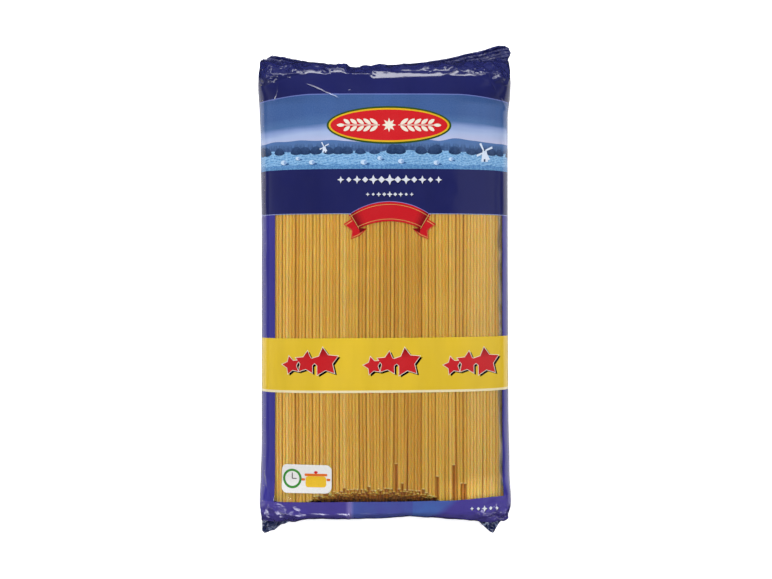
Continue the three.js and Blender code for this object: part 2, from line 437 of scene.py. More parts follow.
def relief(point):
    """How far the film stands off its plain form at a place."""
    amount = crumple_amount(point.x, point.y)
    folds = amount * crumple(point) if amount > 0 else 0.0
    front = smooth(point.z, SEAL_LEVEL, SEAL_LEVEL + 12)
    return folds + front * (ripple(point.x, point.y) + crease_height(point.x, point.y))


def film_height(x, y):
    """Height of the dressed front, for what is printed on it."""
    base = front_height(x, y)
    return base + relief(Vector((x, y, base)))


# The grid of the film: columns run round the bag and rings from weld to weld.

# Rings of the body: from and to on Y, and their number. Then the rings of the bottom and top end
BODY_RINGS = (
    (SHOULDER_BOTTOM, WINDOW_BOTTOM, 9),
    (WINDOW_BOTTOM, -108, 14),
    (-108, BAND_BOTTOM, 22),
    (BAND_BOTTOM, BAND_LINE, 1),
    (BAND_LINE, BAND_TOP, 14),
    (BAND_TOP, WINDOW_TOP, 34),
    (WINDOW_TOP, PANEL_TOP, 12),
    (PANEL_TOP, 102, 14),
    (102, SHOULDER_TOP, 24),
)
END_RINGS = (30, 38)


def end_ring(shoulder, seal, share):
    """Y of a ring of an end, closer together towards the weld."""
    return mix(shoulder, seal, math.sin(share * math.pi / 2))


def ring_stations():
    low, high = END_RINGS
    stations = [end_ring(SHOULDER_BOTTOM, SEAL_BOTTOM, 1 - i / low) for i in range(low)]
    for start, end, count in BODY_RINGS:
        stations += [mix(start, end, i / count) for i in range(count)]
    return stations + [end_ring(SHOULDER_TOP, SEAL_TOP, i / high) for i in range(high + 1)]


RINGS = ring_stations()
FRONT_COLUMNS = 2 * OUTER_COLUMNS + WINDOW_COLUMNS
COLUMNS = FRONT_COLUMNS + BACK_COLUMNS + 2 * BACK_OUTER_COLUMNS


def side_point(side, share, edge, roundness, y):
    """From the widest point, at share 0, round the corner to X = edge, at share 1."""
    half = half_width(side, y)
    edge_turn = math.asin(min(1.0, abs(edge) / half) ** (roundness / 2))
    turn = mix(math.pi / 2, edge_turn, share)
    return side * half * math.sin(turn) ** (2 / roundness), max(0.0, math.cos(turn)) ** (2 / roundness)


def section(column, y):
    """X and the height share, from 1 at the front to -1 at the back, of a column at y."""
    front = roundness_at(y, FRONT_ROUNDNESS)
    back = roundness_at(y, BACK_ROUNDNESS)
    if column <= OUTER_COLUMNS:
        return side_point(-1, column / OUTER_COLUMNS, WINDOW_LEFT, front, y)
    if column < OUTER_COLUMNS + WINDOW_COLUMNS:
        x = mix(WINDOW_LEFT, WINDOW_RIGHT, (column - OUTER_COLUMNS) / WINDOW_COLUMNS)
        return x, crown(abs(x) / half_width(x, y), front)
    if column <= FRONT_COLUMNS:
        return side_point(1, (FRONT_COLUMNS - column) / OUTER_COLUMNS, WINDOW_RIGHT, front, y)
    below = column - FRONT_COLUMNS
    if below <= BACK_OUTER_COLUMNS:
        x, height = side_point(1, below / BACK_OUTER_COLUMNS, BACK_FLAT, back, y)
    elif below < BACK_OUTER_COLUMNS + BACK_COLUMNS:
        x = mix(BACK_FLAT, -BACK_FLAT, (below - BACK_OUTER_COLUMNS) / BACK_COLUMNS)
        height = crown(abs(x) / half_width(x, y), back)
    else:
        x, height = side_point(-1, (COLUMNS - column) / BACK_OUTER_COLUMNS, -BACK_FLAT, back, y)
    return x, -height


def bag_point(column, y):
    x, height = section(column, y)
    depth = BODY_THICKNESS - SEAL_LEVEL if height > 0 else SEAL_LEVEL + BACK_PRESS
    z = max(BACK_LIFT, SEAL_LEVEL + depth * fullness(y) * height)
    x -= math.copysign(tuck(y, height), x)
    return Vector((x, y + corner_reach(x, y) + slack(x, y), z))


def print_columns():
    """Distance round the film of each column, from the middle of the front."""
    points = [bag_point(column, 0) for column in range(COLUMNS + 1)]
    runs = [0.0]
    for a, b in zip(points, points[1:]):
        runs.append(runs[-1] + (b - a).length)
    middle = next(i for i, p in enumerate(points) if p.x >= 0)
    zero = runs[middle] - points[middle].x
    return [run - zero for run in runs]


def print_rings():
    """Distance along the film of each ring, which is Y on the body."""
    places = list(RINGS)
    heights = [front_height(0, y) for y in RINGS]
    for i in range(1, len(RINGS)):
        if RINGS[i] > SHOULDER_TOP:
            step = math.hypot(RINGS[i] - RINGS[i - 1], heights[i] - heights[i - 1])
            places[i] = places[i - 1] + step
    for i in range(len(RINGS) - 2, -1, -1):
        if RINGS[i] < SHOULDER_BOTTOM:
            step = math.hypot(RINGS[i + 1] - RINGS[i], heights[i + 1] - heights[i])
            places[i] = places[i + 1] - step
    return places


# Blender helpers


def deselect():
    bpy.ops.object.select_all(action="DESELECT")


def make_active(obj):
    deselect()
    obj.select_set(True)
    bpy.context.view_layer.objects.active = obj


def edit(obj, *steps):
    """Runs edit-mode steps on one object."""
    make_active(obj)
    bpy.ops.object.mode_set(mode="EDIT")
    for step in steps:
        step()
    bpy.ops.object.mode_set(mode="OBJECT")


def select_all():
    bpy.ops.mesh.select_all(action="SELECT")


def select_none():
    bpy.ops.mesh.select_all(action="DESELECT")


def unit_grid(columns, rows):
    deselect()
    bpy.ops.mesh.primitive_grid_add(x_subdivisions=columns, y_subdivisions=rows, size=1)
    return bpy.context.object


def thicken(obj, thickness, offset=0):
    """Gives a sheet its thickness, in millimetres: offset -1 is under it and 0 on both sides."""
    make_active(obj)
    modifier = obj.modifiers.new("thickness", "SOLIDIFY")
    modifier.thickness = thickness * MM
    modifier.offset = offset
    bpy.ops.object.modifier_apply(modifier=modifier.name)


def shade(obj, angle=None):
    make_active(obj)
    if angle is None:
        bpy.ops.object.shade_smooth()
    else:
        bpy.ops.object.shade_smooth_by_angle(angle=math.radians(angle))


def join(name, objects):
    deselect()
    for obj in objects:
        obj.select_set(True)
    bpy.context.view_layer.objects.active = objects[0]
    bpy.ops.object.join()
    objects[0].name = name
    return objects[0]


def finish_piece(obj, slot, *nodes):
    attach(obj, "root")
    if nodes:
        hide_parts(*nodes)
    return obj


# Materials


def colour(red, green, blue):
    """A screen colour, from 0 to 255, as the shader's linear colour."""
    screen = (red / 255, green / 255, blue / 255)
    linear = [c / 12.92 if c <= 0.04045 else ((c + 0.055) / 1.055) ** 2.4 for c in screen]
    return (*linear, 1)


# How bright a white print turns out, and what the gloss adds to it
PRINT_LIGHT = 1.2
PRINT_GLOSS = 0.006


def printed(red, green, blue):
    """The ink that shows as this screen colour on the film."""
    linear = [max(0.002, (c - PRINT_GLOSS) / PRINT_LIGHT) for c in colour(red, green, blue)[:3]]
    return (*linear, 1)


class Shader:
    """Adds nodes to a material or a node group, and links them by their values."""

    def __init__(self, tree):
        self.tree = tree

    def fill(self, node, inputs):
        """Links each input to another node's output, or sets it to a constant."""
        for key, value in inputs.items():
            if isinstance(value, bpy.types.NodeSocket):
                self.tree.links.new(value, node.inputs[key])
            else:
                node.inputs[key].default_value = value

    def add(self, kind, inputs=None, **settings):
        node = self.tree.nodes.new(kind)
        for name, value in settings.items():
            setattr(node, name, value)
        self.fill(node, inputs or {})
        return node

    def math(self, operation, *values):
        return self.add("ShaderNodeMath", dict(enumerate(values)), operation=operation).outputs[0]

    def vector(self, operation, *values):
        return self.add("ShaderNodeVectorMath", dict(enumerate(values)), operation=operation).outputs[0]

    def blend(self, share, first, second):
        return self.add("ShaderNodeMix", {0: share, 6: first, 7: second}, data_type="RGBA").outputs[2]

    def remap(self, value, low, high, to_low=0.0, to_high=1.0):
        inputs = {0: value, 1: low, 2: high, 3: to_low, 4: to_high}
        return self.add("ShaderNodeMapRange", inputs).outputs[0]

    def steps(self, value, fields):
        """Plain fields of colour, each from its own edge up."""
        paint = fields[0][1]
        for edge, field in fields[1:]:
            paint = self.blend(self.math("GREATER_THAN", value, edge), paint, field)
        return paint

    def noise(self, vector, scale, detail=2.0, roughness=0.5):
        inputs = {"Vector": vector, "Scale": scale, "Detail": detail, "Roughness": roughness}
        return self.add("ShaderNodeTexNoise", inputs).outputs["Fac"]

    def noise_line(self, value, scale, detail):
        inputs = {"W": value, "Scale": scale, "Detail": detail}
        return self.add("ShaderNodeTexNoise", inputs, noise_dimensions="1D").outputs["Fac"]

    def swirled(self, place, scale, detail, reach):
        """The place, shifted about by up to the reach."""
        swirl = self.add("ShaderNodeTexNoise", {"Vector": place, "Scale": scale, "Detail": detail})
        return self.vector("MULTIPLY_ADD", swirl.outputs["Color"], (reach, reach, reach), place)

    def cells(self, place, scale, feature="F1"):
        inputs = {"Vector": place, "Scale": scale}
        return self.add("ShaderNodeTexVoronoi", inputs, feature=feature).outputs["Distance"]

    def attribute(self, name):
        return self.add("ShaderNodeAttribute", attribute_name=name).outputs["Fac"]

    def ramp(self, value, stops):
        node = self.add("ShaderNodeValToRGB", {0: value})
        elements = node.color_ramp.elements
        while len(elements) < len(stops):
            elements.new(1)
        for element, (position, shade_colour) in zip(elements, stops):
            element.position = position
            element.color = shade_colour
        return node.outputs[0]

    def mottled(self, paint, texture, low, high):
        """The paint, made darker and lighter by a texture."""
        value = self.remap(texture, 0.3, 0.7, low, high)
        return self.add("ShaderNodeHueSaturation", {"Color": paint, "Value": value}).outputs[0]

    def bump(self, height, distance):
        inputs = {"Height": height, "Distance": distance, "Strength": 1.0}
        return self.add("ShaderNodeBump", inputs).outputs[0]

    def parts(self, place):
        return self.add("ShaderNodeSeparateXYZ", {0: place}).outputs

    def object_place(self, scale=None):
        place = self.add("ShaderNodeTexCoord").outputs["Object"]
        if scale is None:
            return place
        return self.add("ShaderNodeMapping", {"Vector": place, "Scale": scale}).outputs[0]


def new_group(name, inputs, outputs):
    """A node group of numbers, whose inputs are 1 unless they are set."""
    tree = bpy.data.node_groups.new(name, "ShaderNodeTree")
    for socket_name in inputs:
        socket = tree.interface.new_socket(socket_name, in_out="INPUT", socket_type="NodeSocketFloat")
        socket.default_value = 1.0
    for socket_name in outputs:
        tree.interface.new_socket(socket_name, in_out="OUTPUT", socket_type="NodeSocketFloat")
    shader = Shader(tree)
    return shader, shader.add("NodeGroupInput").outputs, shader.add("NodeGroupOutput")


def crumpled(shader, place):
    """Height of the small sharp facets of crumpled film, at the ends and most at the corners."""
    x, y = shader.parts(place)[:2]
    bent = shader.swirled(place, 0.13, 1.0, 7)
    large = shader.math("MULTIPLY", shader.cells(bent, 0.17), 1.9)
    height = shader.math("MULTIPLY_ADD", shader.cells(bent, 0.45), 0.45, large)
    corner = shader.remap(shader.math("ABSOLUTE", x), 44, 70)
    top = shader.remap(shader.math("MULTIPLY_ADD", corner, 8, y), 130, 134)
    low = shader.remap(shader.math("MULTIPLY_ADD", corner, -6, y), -131, -135)
    low = shader.math("MULTIPLY", low, shader.math("MULTIPLY_ADD", corner, 0.7, 0.3))
    return shader.math("MULTIPLY", height, shader.math("MAXIMUM", top, low))


def film_wrinkle_group():
    """Height in millimetres of the film's creases, its wrinkles and the strands that press through."""
    shader, given, result = new_group(
        "film_wrinkles", ("Wrinkles", "Strands", "Crumpling"), ("Height", "Haze")
    )
    place = shader.vector("SUBTRACT", shader.object_place(), (SHIFT_X, SHIFT_Y, 0))
    place = shader.vector("MULTIPLY", place, (1 / MM, 1 / MM, 1 / MM))
    soft = shader.math("MULTIPLY", shader.noise(place, 0.055, 1), 0.8)
    wrinkles = shader.math("MULTIPLY_ADD", shader.noise(place, 0.42, 3, 0.6), 0.02, soft)
    wrinkles = shader.math("MULTIPLY", wrinkles, given["Wrinkles"])
    pressed = shader.noise(shader.vector("MULTIPLY", place, (1, 0.02, 1)), 0.52, 1)
    pressed = shader.math("MULTIPLY", pressed, given["Strands"])
    total = shader.math("MULTIPLY_ADD", pressed, 0.03, wrinkles)
    total = shader.math("MULTIPLY_ADD", crumpled(shader, place), given["Crumpling"], total)
    fall = shader.math("MULTIPLY", shader.math("ABSOLUTE", shader.attribute("crease_gap")), CREASE_SLOPE)
    crease = shader.math("SUBTRACT", shader.attribute("crease_height"), fall)
    height = shader.math("ADD", total, shader.math("MAXIMUM", crease, 0.0))
    haze = shader.remap(shader.noise(place, 0.09, 2), 0.35, 0.7)
    shader.fill(result, {"Height": height, "Haze": haze})
    return shader.tree


FILM_WRINKLES = film_wrinkle_group()
FILM_ROUGHNESS = 0.12


def new_material(name):
    material = bpy.data.materials.new(name)
    material.use_nodes = True
    shader = Shader(material.node_tree)
    return material, shader, material.node_tree.nodes["Principled BSDF"]


def film_finish(shader, surface, paint, roughness=FILM_ROUGHNESS, wrinkling=None):
    """The paint and the gloss of every printed film surface."""
    outputs = shader.add("ShaderNodeGroup", wrinkling, node_tree=FILM_WRINKLES).outputs
    inputs = {
        "Base Color": paint,
        "Normal": shader.bump(outputs["Height"], MM),
        "Roughness": shader.remap(outputs["Haze"], 0, 1, roughness, roughness + 0.08),
        "IOR": 1.5,
        "Coat Weight": 0.3,
        "Coat Roughness": 0.06,
    }
    shader.fill(surface, inputs)


# Colours of the print
NAVY_TOP = printed(40, 43, 96)
NAVY_PANEL = printed(38, 41, 91)
VIOLET_SIDE = printed(60, 56, 139)
VIOLET_BOTTOM = printed(75, 66, 144)
# Painted reflection on the facets of the bottom strip
PAINTED_SHEEN_BLUE = printed(72, 108, 178)
# Painted highlight on a fold of the bottom strip
FOLD_HIGHLIGHT_LILAC = printed(158, 146, 208)
# Painted highlight along the creases of the fins
CREASE_HIGHLIGHT = printed(176, 190, 226)
BAND_YELLOW = printed(224, 189, 52)
PALE_LINE = printed(112, 126, 196)
WINDOW_LINE = printed(150, 160, 210)
WHITE_LINE = printed(236, 222, 178)
SKY_TOP = printed(58, 90, 146)
SKY_MIDDLE = printed(72, 106, 158)
SKY_LOW = printed(164, 182, 220)
SKY_ROSE = printed(186, 190, 222)
FAR_HILL = printed(92, 124, 176)
WOOD_HILL = printed(84, 116, 166)
MID_WOOD = printed(58, 82, 124)
DARK_WOOD = printed(24, 38, 66)
FIELD = printed(112, 164, 212)
FIELD_DARK = printed(74, 124, 180)
FIELD_LIGHT = printed(156, 200, 234)
SKY = (
    (0.0, SKY_ROSE),
    (0.2, SKY_LOW),
    (0.31, printed(128, 150, 200)),
    (0.4, SKY_MIDDLE),
    (0.6, SKY_TOP),
)

# The print's fields along the film, from the bottom weld up
FIELDS = (
    (None, VIOLET_BOTTOM),
    (WINDOW_BOTTOM, VIOLET_SIDE),
    (BAND_BOTTOM, WHITE_LINE),
    (BAND_LINE, BAND_YELLOW),
    (BAND_TOP, VIOLET_SIDE),
    (WINDOW_TOP, WINDOW_LINE),
    (WINDOW_TOP + 0.35, NAVY_PANEL),
    (PANEL_TOP, SKY_LOW),
    (PICTURE_TOP - PICTURE_LINE, PALE_LINE),
    (PICTURE_TOP, NAVY_TOP),
)


# The view, in millimetres over the panel under it. A skyline: its height, waves, scale and detail
SKY_FOOT = 16
SKY_TILT = -0.0006
HILL_LINE = (17, 7, 0.035, 1)
FIELD_LINE = (10.6, 4.6, 0.05, 2)
NEAR_LINE = (2.6, 3.4, 0.12, 4)
# A row of trees: the height of its ground, the ground's waves, the crowns' height and width, and
# the height that their feet stand at, where they stand free
FAR_TREES = (13.2, 4, 2.4, 2.6, None)
NEAR_TREES = (8.0, 9, 5.2, 7.5, 8.6)
TREE_FOOT = 2.2
LEAF_RAGGEDNESS = 1.6
FURROW_BEND = 26
FURROW_SCALE = 4.2


def ridge(shader, across, up, line):
    """1 below a wavy skyline, 0 above it."""
    height, rise, scale, detail = line
    wave = shader.noise_line(across, scale, detail)
    skyline = shader.math("MULTIPLY_ADD", wave, rise, PANEL_TOP + height - rise / 2)
    return shader.math("LESS_THAN", up, skyline)


def tree_row(shader, view, across, up, leaves, trees, light, dark):
    """A row of round trees before the view, dark between the crowns and towards the foot."""
    base, wave, height, width, foot = trees
    inputs = {"W": across, "Scale": 1 / width}
    cell = shader.add("ShaderNodeTexVoronoi", inputs, voronoi_dimensions="1D").outputs["Distance"]
    side = shader.math("MULTIPLY", cell, 1.9)
    bulge = shader.math("SUBTRACT", 1.0, shader.math("MULTIPLY", side, side))
    bulge = shader.math("SQRT", shader.math("MAXIMUM", bulge, 0.0))
    hills = shader.noise_line(across, 0.045, 1)
    ground = shader.math("MULTIPLY_ADD", hills, wave, PANEL_TOP + base - wave / 2)
    skyline = shader.math("MULTIPLY_ADD", bulge, height, ground)
    skyline = shader.math("SUBTRACT", skyline, LEAF_RAGGEDNESS / 2)
    skyline = shader.math("MULTIPLY_ADD", leaves, LEAF_RAGGEDNESS, skyline)
    depth = shader.remap(up, skyline, shader.math("SUBTRACT", ground, 1.0))
    tone = shader.math("MULTIPLY_ADD", side, 0.45, shader.math("MULTIPLY", depth, 0.6))
    tone = shader.math("MULTIPLY_ADD", leaves, -1.5, shader.math("ADD", tone, 0.75))
    paint = shader.blend(shader.remap(tone, 0, 1), light, dark)
    inside = shader.math("LESS_THAN", up, skyline)
    if foot:
        bottom = shader.math("MULTIPLY_ADD", bulge, -TREE_FOOT, PANEL_TOP + foot + TREE_FOOT)
        inside = shader.math("MULTIPLY", inside, shader.math("GREATER_THAN", up, bottom))
        inside = shader.math("MULTIPLY", inside, shader.math("GREATER_THAN", bulge, 0.1))
    return shader.blend(inside, view, paint)


def sky(shader, place, across, up):
    share = shader.remap(up, PANEL_TOP + SKY_FOOT, PICTURE_TOP)
    drift = shader.noise(shader.vector("MULTIPLY", place, (0.02, 0.11, 1)), 1.0, 3)
    share = shader.math("MULTIPLY_ADD", drift, 0.24, shader.math("SUBTRACT", share, 0.12))
    return shader.ramp(shader.math("MULTIPLY_ADD", across, SKY_TILT, share), SKY)


def furrowed(shader, across, up, leaves):
    """The light field in the middle of the view, with bending furrows."""
    run = shader.math("MULTIPLY_ADD", shader.noise_line(across, 0.03, 1), FURROW_BEND, up)
    furrows = shader.math("SINE", shader.math("MULTIPLY", run, FURROW_SCALE))
    field = shader.blend(shader.remap(furrows, -0.4, 1), FIELD, FIELD_DARK)
    return shader.blend(shader.remap(leaves, 0.42, 0.66), field, FIELD_LIGHT)


def landscape(shader, across, up):
    """A plain view of hills and fields in blues, from its back to its front."""
    place = shader.add("ShaderNodeCombineXYZ", {"X": across, "Y": up}).outputs[0]
    texture = shader.noise(place, 1.4, 5, 0.7)
    leaves = shader.noise(place, 0.75, 4, 0.75)
    haze = shader.remap(texture, 0.3, 0.7, 0.0, 0.1)
    view = shader.blend(haze, sky(shader, place, across, up), SKY_LOW)
    far = shader.blend(texture, FAR_HILL, SKY_MIDDLE)
    view = shader.blend(ridge(shader, across, up, HILL_LINE), view, far)
    view = tree_row(shader, view, across, up, leaves, FAR_TREES, WOOD_HILL, MID_WOOD)
    field = furrowed(shader, across, up, leaves)
    view = shader.blend(ridge(shader, across, up, FIELD_LINE), view, field)
    view = tree_row(shader, view, across, up, leaves, NEAR_TREES, MID_WOOD, DARK_WOOD)
    near = shader.blend(shader.remap(leaves, 0.4, 0.62), FIELD_DARK, FIELD)
    near = shader.blend(shader.remap(texture, 0.5, 0.75, 0, 0.7), near, DARK_WOOD)
    return shader.blend(ridge(shader, across, up, NEAR_LINE), view, near)


PINHOLE_PITCH = 8.06
PINHOLE_RADIUS = 0.22


def pinholes(shader, across, up, column):
    """A column of tiny pale pricks down the film."""
    turn = shader.math("FRACT", shader.math("DIVIDE", up, PINHOLE_PITCH))
    away = shader.math("MULTIPLY", shader.math("SUBTRACT", turn, 0.5), PINHOLE_PITCH)
    aside = shader.math("SUBTRACT", across, column)
    aside = shader.math("MULTIPLY", aside, aside)
    distance = shader.math("SQRT", shader.math("MULTIPLY_ADD", away, away, aside))
    return shader.math("LESS_THAN", distance, PINHOLE_RADIUS)


# Lighter fields of the bottom strip, a painted reflection on the film's facets: X from and to, the
# slant of their right edge, and their share
PAINTED_SHEEN_FIELDS = ((-20.0, 16.4, 0.0, 0.42), (16.4, 42.0, 1.3, 0.72))
EDGE_BLUR = 0.3
# A painted highlight along a fold across the bottom strip: its X, and its half-width from plain to full
FOLD_HIGHLIGHT_X = -20.9
FOLD_HIGHLIGHT_WIDTH = (2.6, 0.6)


def bottom_painted_sheen(shader, across, up):
    """Shares of the painted reflection, in fields with slanting edges under the window, and of the painted
    highlight on the fold.
    """
    cloud = shader.remap(shader.noise(shader.object_place(), 110, 3), 0.3, 0.7, 0.6, 1.1)
    under = shader.math("ADD", up, -WINDOW_BOTTOM)
    below = shader.math("LESS_THAN", up, WINDOW_BOTTOM)
    total = 0.0
    for start, end, lean, share in PAINTED_SHEEN_FIELDS:
        slant = shader.math("MULTIPLY_ADD", under, -lean, across)
        soft = EDGE_BLUR + 2 * lean
        right = shader.remap(slant, end + soft, end - soft)
        left = shader.remap(across, start - EDGE_BLUR, start + EDGE_BLUR)
        total = shader.math("MULTIPLY_ADD", shader.math("MULTIPLY", right, left), share, total)
    # The painted highlight along the fold
    fold = shader.math("ABSOLUTE", shader.math("SUBTRACT", across, FOLD_HIGHLIGHT_X))
    fold = shader.remap(fold, *FOLD_HIGHLIGHT_WIDTH, 0, 0.45)
    return [shader.math("MULTIPLY", shader.math("MULTIPLY", part, cloud), below) for part in (total, fold)]


def printed_film():
    material, shader, surface = new_material("printed_film")
    across, up = shader.parts(shader.add("ShaderNodeUVMap", uv_map="print").outputs[0])[:2]
    over = shader.math("GREATER_THAN", up, PANEL_TOP)
    in_picture = shader.math("MULTIPLY", over, shader.math("LESS_THAN", up, PICTURE_TOP - PICTURE_LINE))
    paint = shader.blend(in_picture, shader.steps(up, FIELDS), landscape(shader, across, up))
    # thin is the share of the painted reflection on the bottom strip, and fold that of the painted highlight
    # on its fold
    thin, fold = bottom_painted_sheen(shader, across, up)
    paint = shader.blend(thin, paint, PAINTED_SHEEN_BLUE)
    paint = shader.blend(fold, paint, FOLD_HIGHLIGHT_LILAC)
    paint = shader.mottled(paint, shader.noise(shader.object_place((1, 0.25, 1)), 60, 3), 0.93, 1.06)
    pricks = shader.math("MULTIPLY", pinholes(shader, across, up, PINHOLE_COLUMN), 0.45)
    film_finish(shader, surface, shader.blend(pricks, paint, WHITE_LINE))
    return material


def fin_film(name, paint, crease_glint=0.0):
    """Film of the welds, with painted highlights along its creases."""
    material, shader, surface = new_material(name)
    place = shader.object_place()
    paint = shader.mottled(paint, shader.noise(place, 160, 3), 0.85, 1.1)
    if crease_glint:
        # Painted highlights: pale lines along the crease cells, in patches
        edges = shader.cells(shader.swirled(place, 150.0, 2.0, 0.006), 210.0, "DISTANCE_TO_EDGE")
        line = shader.remap(edges, 0.09, 0.02, 0, crease_glint)
        patch = shader.remap(shader.noise(place, 120, 1), 0.45, 0.6)
        paint = shader.blend(shader.math("MULTIPLY", line, patch), paint, CREASE_HIGHLIGHT)
    film_finish(shader, surface, paint, 0.24, {"Wrinkles": 0.8, "Strands": 0.0, "Crumpling": 1.5})
    return material


def clear_film():
    """Film that only shows by what it mirrors."""
    material, shader, surface = new_material("clear_film")
    outputs = shader.add("ShaderNodeGroup", node_tree=FILM_WRINKLES).outputs
    bump = shader.bump(outputs["Height"], MM)
    mirror = shader.add("ShaderNodeFresnel", {"IOR": 1.45, "Normal": bump}).outputs[0]
    inputs = {
        "Base Color": (0.95, 0.95, 0.97, 1),
        "Metallic": 1.0,
        "Normal": bump,
        "Roughness": shader.remap(outputs["Haze"], 0, 1, 0.1, 0.2),
        "Alpha": shader.math("MULTIPLY", mirror, 0.85),
    }
    shader.fill(surface, inputs)
    return material


PASTA_DARK = colour(215, 164, 74)
PASTA_PALE = colour(244, 214, 142)
# The darkest stops are painted shade for the deeper rows and the gaps between strands
PASTA_TONES_AND_SHADE = (
    (0.07, colour(84, 56, 36)),
    (0.16, colour(130, 90, 54)),
    (0.28, colour(184, 118, 58)),
    (0.38, PASTA_DARK),
    (0.52, colour(237, 195, 96)),
    (0.85, PASTA_PALE),
)
# Painted shade: the core's dark browns stand for the shadow deep in the bundle
CORE_SHADE_TONES = ((0.3, colour(84, 56, 34)), (0.7, colour(128, 88, 50)))
STREAK_SHARE = 0.15


def dry_pasta():
    material, shader, surface = new_material("dry_pasta")
    streak = shader.noise(shader.object_place((1, 0.004, 1)), 900, 1)
    tone = shader.math("MULTIPLY", shader.attribute("tone"), 1 - STREAK_SHARE)
    paint = shader.ramp(shader.math("MULTIPLY_ADD", streak, STREAK_SHARE, tone), PASTA_TONES_AND_SHADE)
    speck = shader.noise(shader.object_place((1, 0.6, 1)), 1500, 2)
    paint = shader.blend(shader.remap(speck, 0.72, 0.8, 0, 0.4), paint, PASTA_PALE)
    spot = shader.noise(shader.object_place(), 900, 1)
    paint = shader.blend(shader.remap(spot, 0.76, 0.8, 0, 0.6), paint, PASTA_DARK)
    grain_height = shader.noise(shader.object_place((1, 0.3, 1)), 2600, 3, 0.6)
    inputs = {
        "Base Color": paint,
        "Roughness": shader.remap(streak, 0.3, 0.7, 0.42, 0.6),
        "Normal": shader.bump(grain_height, 0.000003),
        "Subsurface Weight": 0.85,
        "Subsurface Radius": (1.0, 0.55, 0.2),
        "Subsurface Scale": 0.0015,
    }
    shader.fill(surface, inputs)
    return material


def shaded_core_pasta():
    material, shader, surface = new_material("shaded_core_pasta")
    streak = shader.noise(shader.object_place((1, 0.03, 1)), 620, 2)
    inputs = {
        "Base Color": shader.ramp(streak, CORE_SHADE_TONES),
        "Roughness": 0.7,
        "Normal": shader.bump(streak, 0.0006),
    }
    shader.fill(surface, inputs)
    return material


INKS = {}


def ink(name, paint, dark=None, span=None):
    """A printed colour, which may darken over a span of Y, in millimetres."""
    if name in INKS:
        return INKS[name]
    material, shader, surface = new_material("ink_" + name)
    if dark:
        up = shader.parts(shader.object_place())[1]
        paint = shader.blend(shader.remap(up, span[0] * MM, span[1] * MM), paint, dark)
    film_finish(shader, surface, shader.mottled(paint, shader.noise(shader.object_place(), 1800), 0.92, 1.06))
    INKS[name] = material
    return material


# The printed film and the clear window


PRINT_COLUMNS = print_columns()
PRINT_RINGS = print_rings()
PINHOLE_COLUMN = (PRINT_COLUMNS[OUTER_COLUMNS - 7] + PRINT_COLUMNS[OUTER_COLUMNS - 6]) / 2


def grid_index(vertex):
    """Column and ring of a vertex of the unit grid."""
    return round((vertex.co.x + 0.5) * COLUMNS), round((vertex.co.y + 0.5) * (len(RINGS) - 1))


SAG_SIDES = (42, 80)
SAG_TOP = (80, 110)


def print_sag(x, y):
    """How far the print hangs lower towards the sides, under the top end."""
    return PRINT_SAG * smooth(abs(x), *SAG_SIDES) * smooth(y, *SAG_TOP)


def lay_print(mesh, places):
    """Gives the film its print coordinates, in millimetres along and round it."""
    layer = mesh.uv_layers.active
    layer.name = "print"
    for loop in mesh.loops:
        column, ring = places[loop.vertex_index]
        x, y = PRINT_COLUMNS[column], PRINT_RINGS[ring]
        layer.data[loop.index].uv = (x, y + print_sag(x, y))


# The height from which the film counts as its front
FRONT_LEVEL = SEAL_LEVEL + 8


def raise_relief(mesh):
    """Moves each point off the plain form: along Z on the front, and along its normal elsewhere."""
    mesh.update()
    normals = [vertex.normal.copy() for vertex in mesh.vertices]
    for vertex, normal in zip(mesh.vertices, normals):
        place = vertex.co.copy()
        on_body = end_share(place.y) == 0
        flat = smooth(place.z, FRONT_LEVEL, FRONT_LEVEL + 8) if on_body else 0.0
        direction = normal.lerp(Vector((0, 0, 1)), flat)
        vertex.co = place + direction * relief(place)
        if place.z > FRONT_LEVEL:
            vertex.co.z += facet_rise(place)
        vertex.co.z = max(vertex.co.z, BACK_LIFT)


def is_window(columns, rings):
    inside = min(columns) >= OUTER_COLUMNS and max(columns) <= OUTER_COLUMNS + WINDOW_COLUMNS
    low, high = RINGS[min(rings)], RINGS[max(rings)]
    upper = low >= BAND_TOP and high <= WINDOW_TOP
    lower = low >= WINDOW_BOTTOM and high <= BAND_BOTTOM
    return inside and (upper or lower)


def film_skin():
    """The whole film as one grid, wrapped round the bag's form."""
    skin = unit_grid(COLUMNS, len(RINGS) - 1)
    mesh = skin.data
    places = [grid_index(vertex) for vertex in mesh.vertices]
    lay_print(mesh, places)
    for vertex, (column, ring) in zip(mesh.vertices, places):
        vertex.co = bag_point(column, RINGS[ring])
    raise_relief(mesh)
    points = [vertex.co for vertex in mesh.vertices]
    marks = [sharp_crease(p.x, p.y) if p.z > FRONT_LEVEL else NO_CREASE for p in points]
    for number, name in enumerate(("crease_gap", "crease_height")):
        attribute = mesh.attributes.new(name, "FLOAT", "POINT")
        attribute.data.foreach_set("value", [mark[number] for mark in marks])
    window = []
    for face in mesh.polygons:
        corners = [places[i] for i in face.vertices]
        window.append(is_window([c for c, _ in corners], [r for _, r in corners]))
    for vertex in mesh.vertices:
        vertex.co = to_frame(*vertex.co)
    return skin, window


def make_film():
    skin, window = film_skin()
    mesh = skin.data
    edit(skin, select_none)
    for face, clear in zip(mesh.polygons, window):
        face.select = clear
    edit(skin, lambda: bpy.ops.mesh.separate(type="SELECTED"))
    clear = next(obj for obj in bpy.context.selected_objects if obj is not skin)
    skin.name = "printed_film"
    clear.name = "window_film"
    edit(skin, select_all, lambda: bpy.ops.mesh.remove_doubles(threshold=0.01 * MM))
    for obj, material in ((skin, printed_film()), (clear, clear_film())):
        thicken(obj, FILM, -1)
        obj.data.materials.append(material)
        shade(obj, 50)
    finish_piece(skin, "printed_film", "film_bag")
    finish_piece(clear, "clear_film")


make_film()


# The welded fins


FIN_COLUMNS = 170
FIN_ROWS = 44
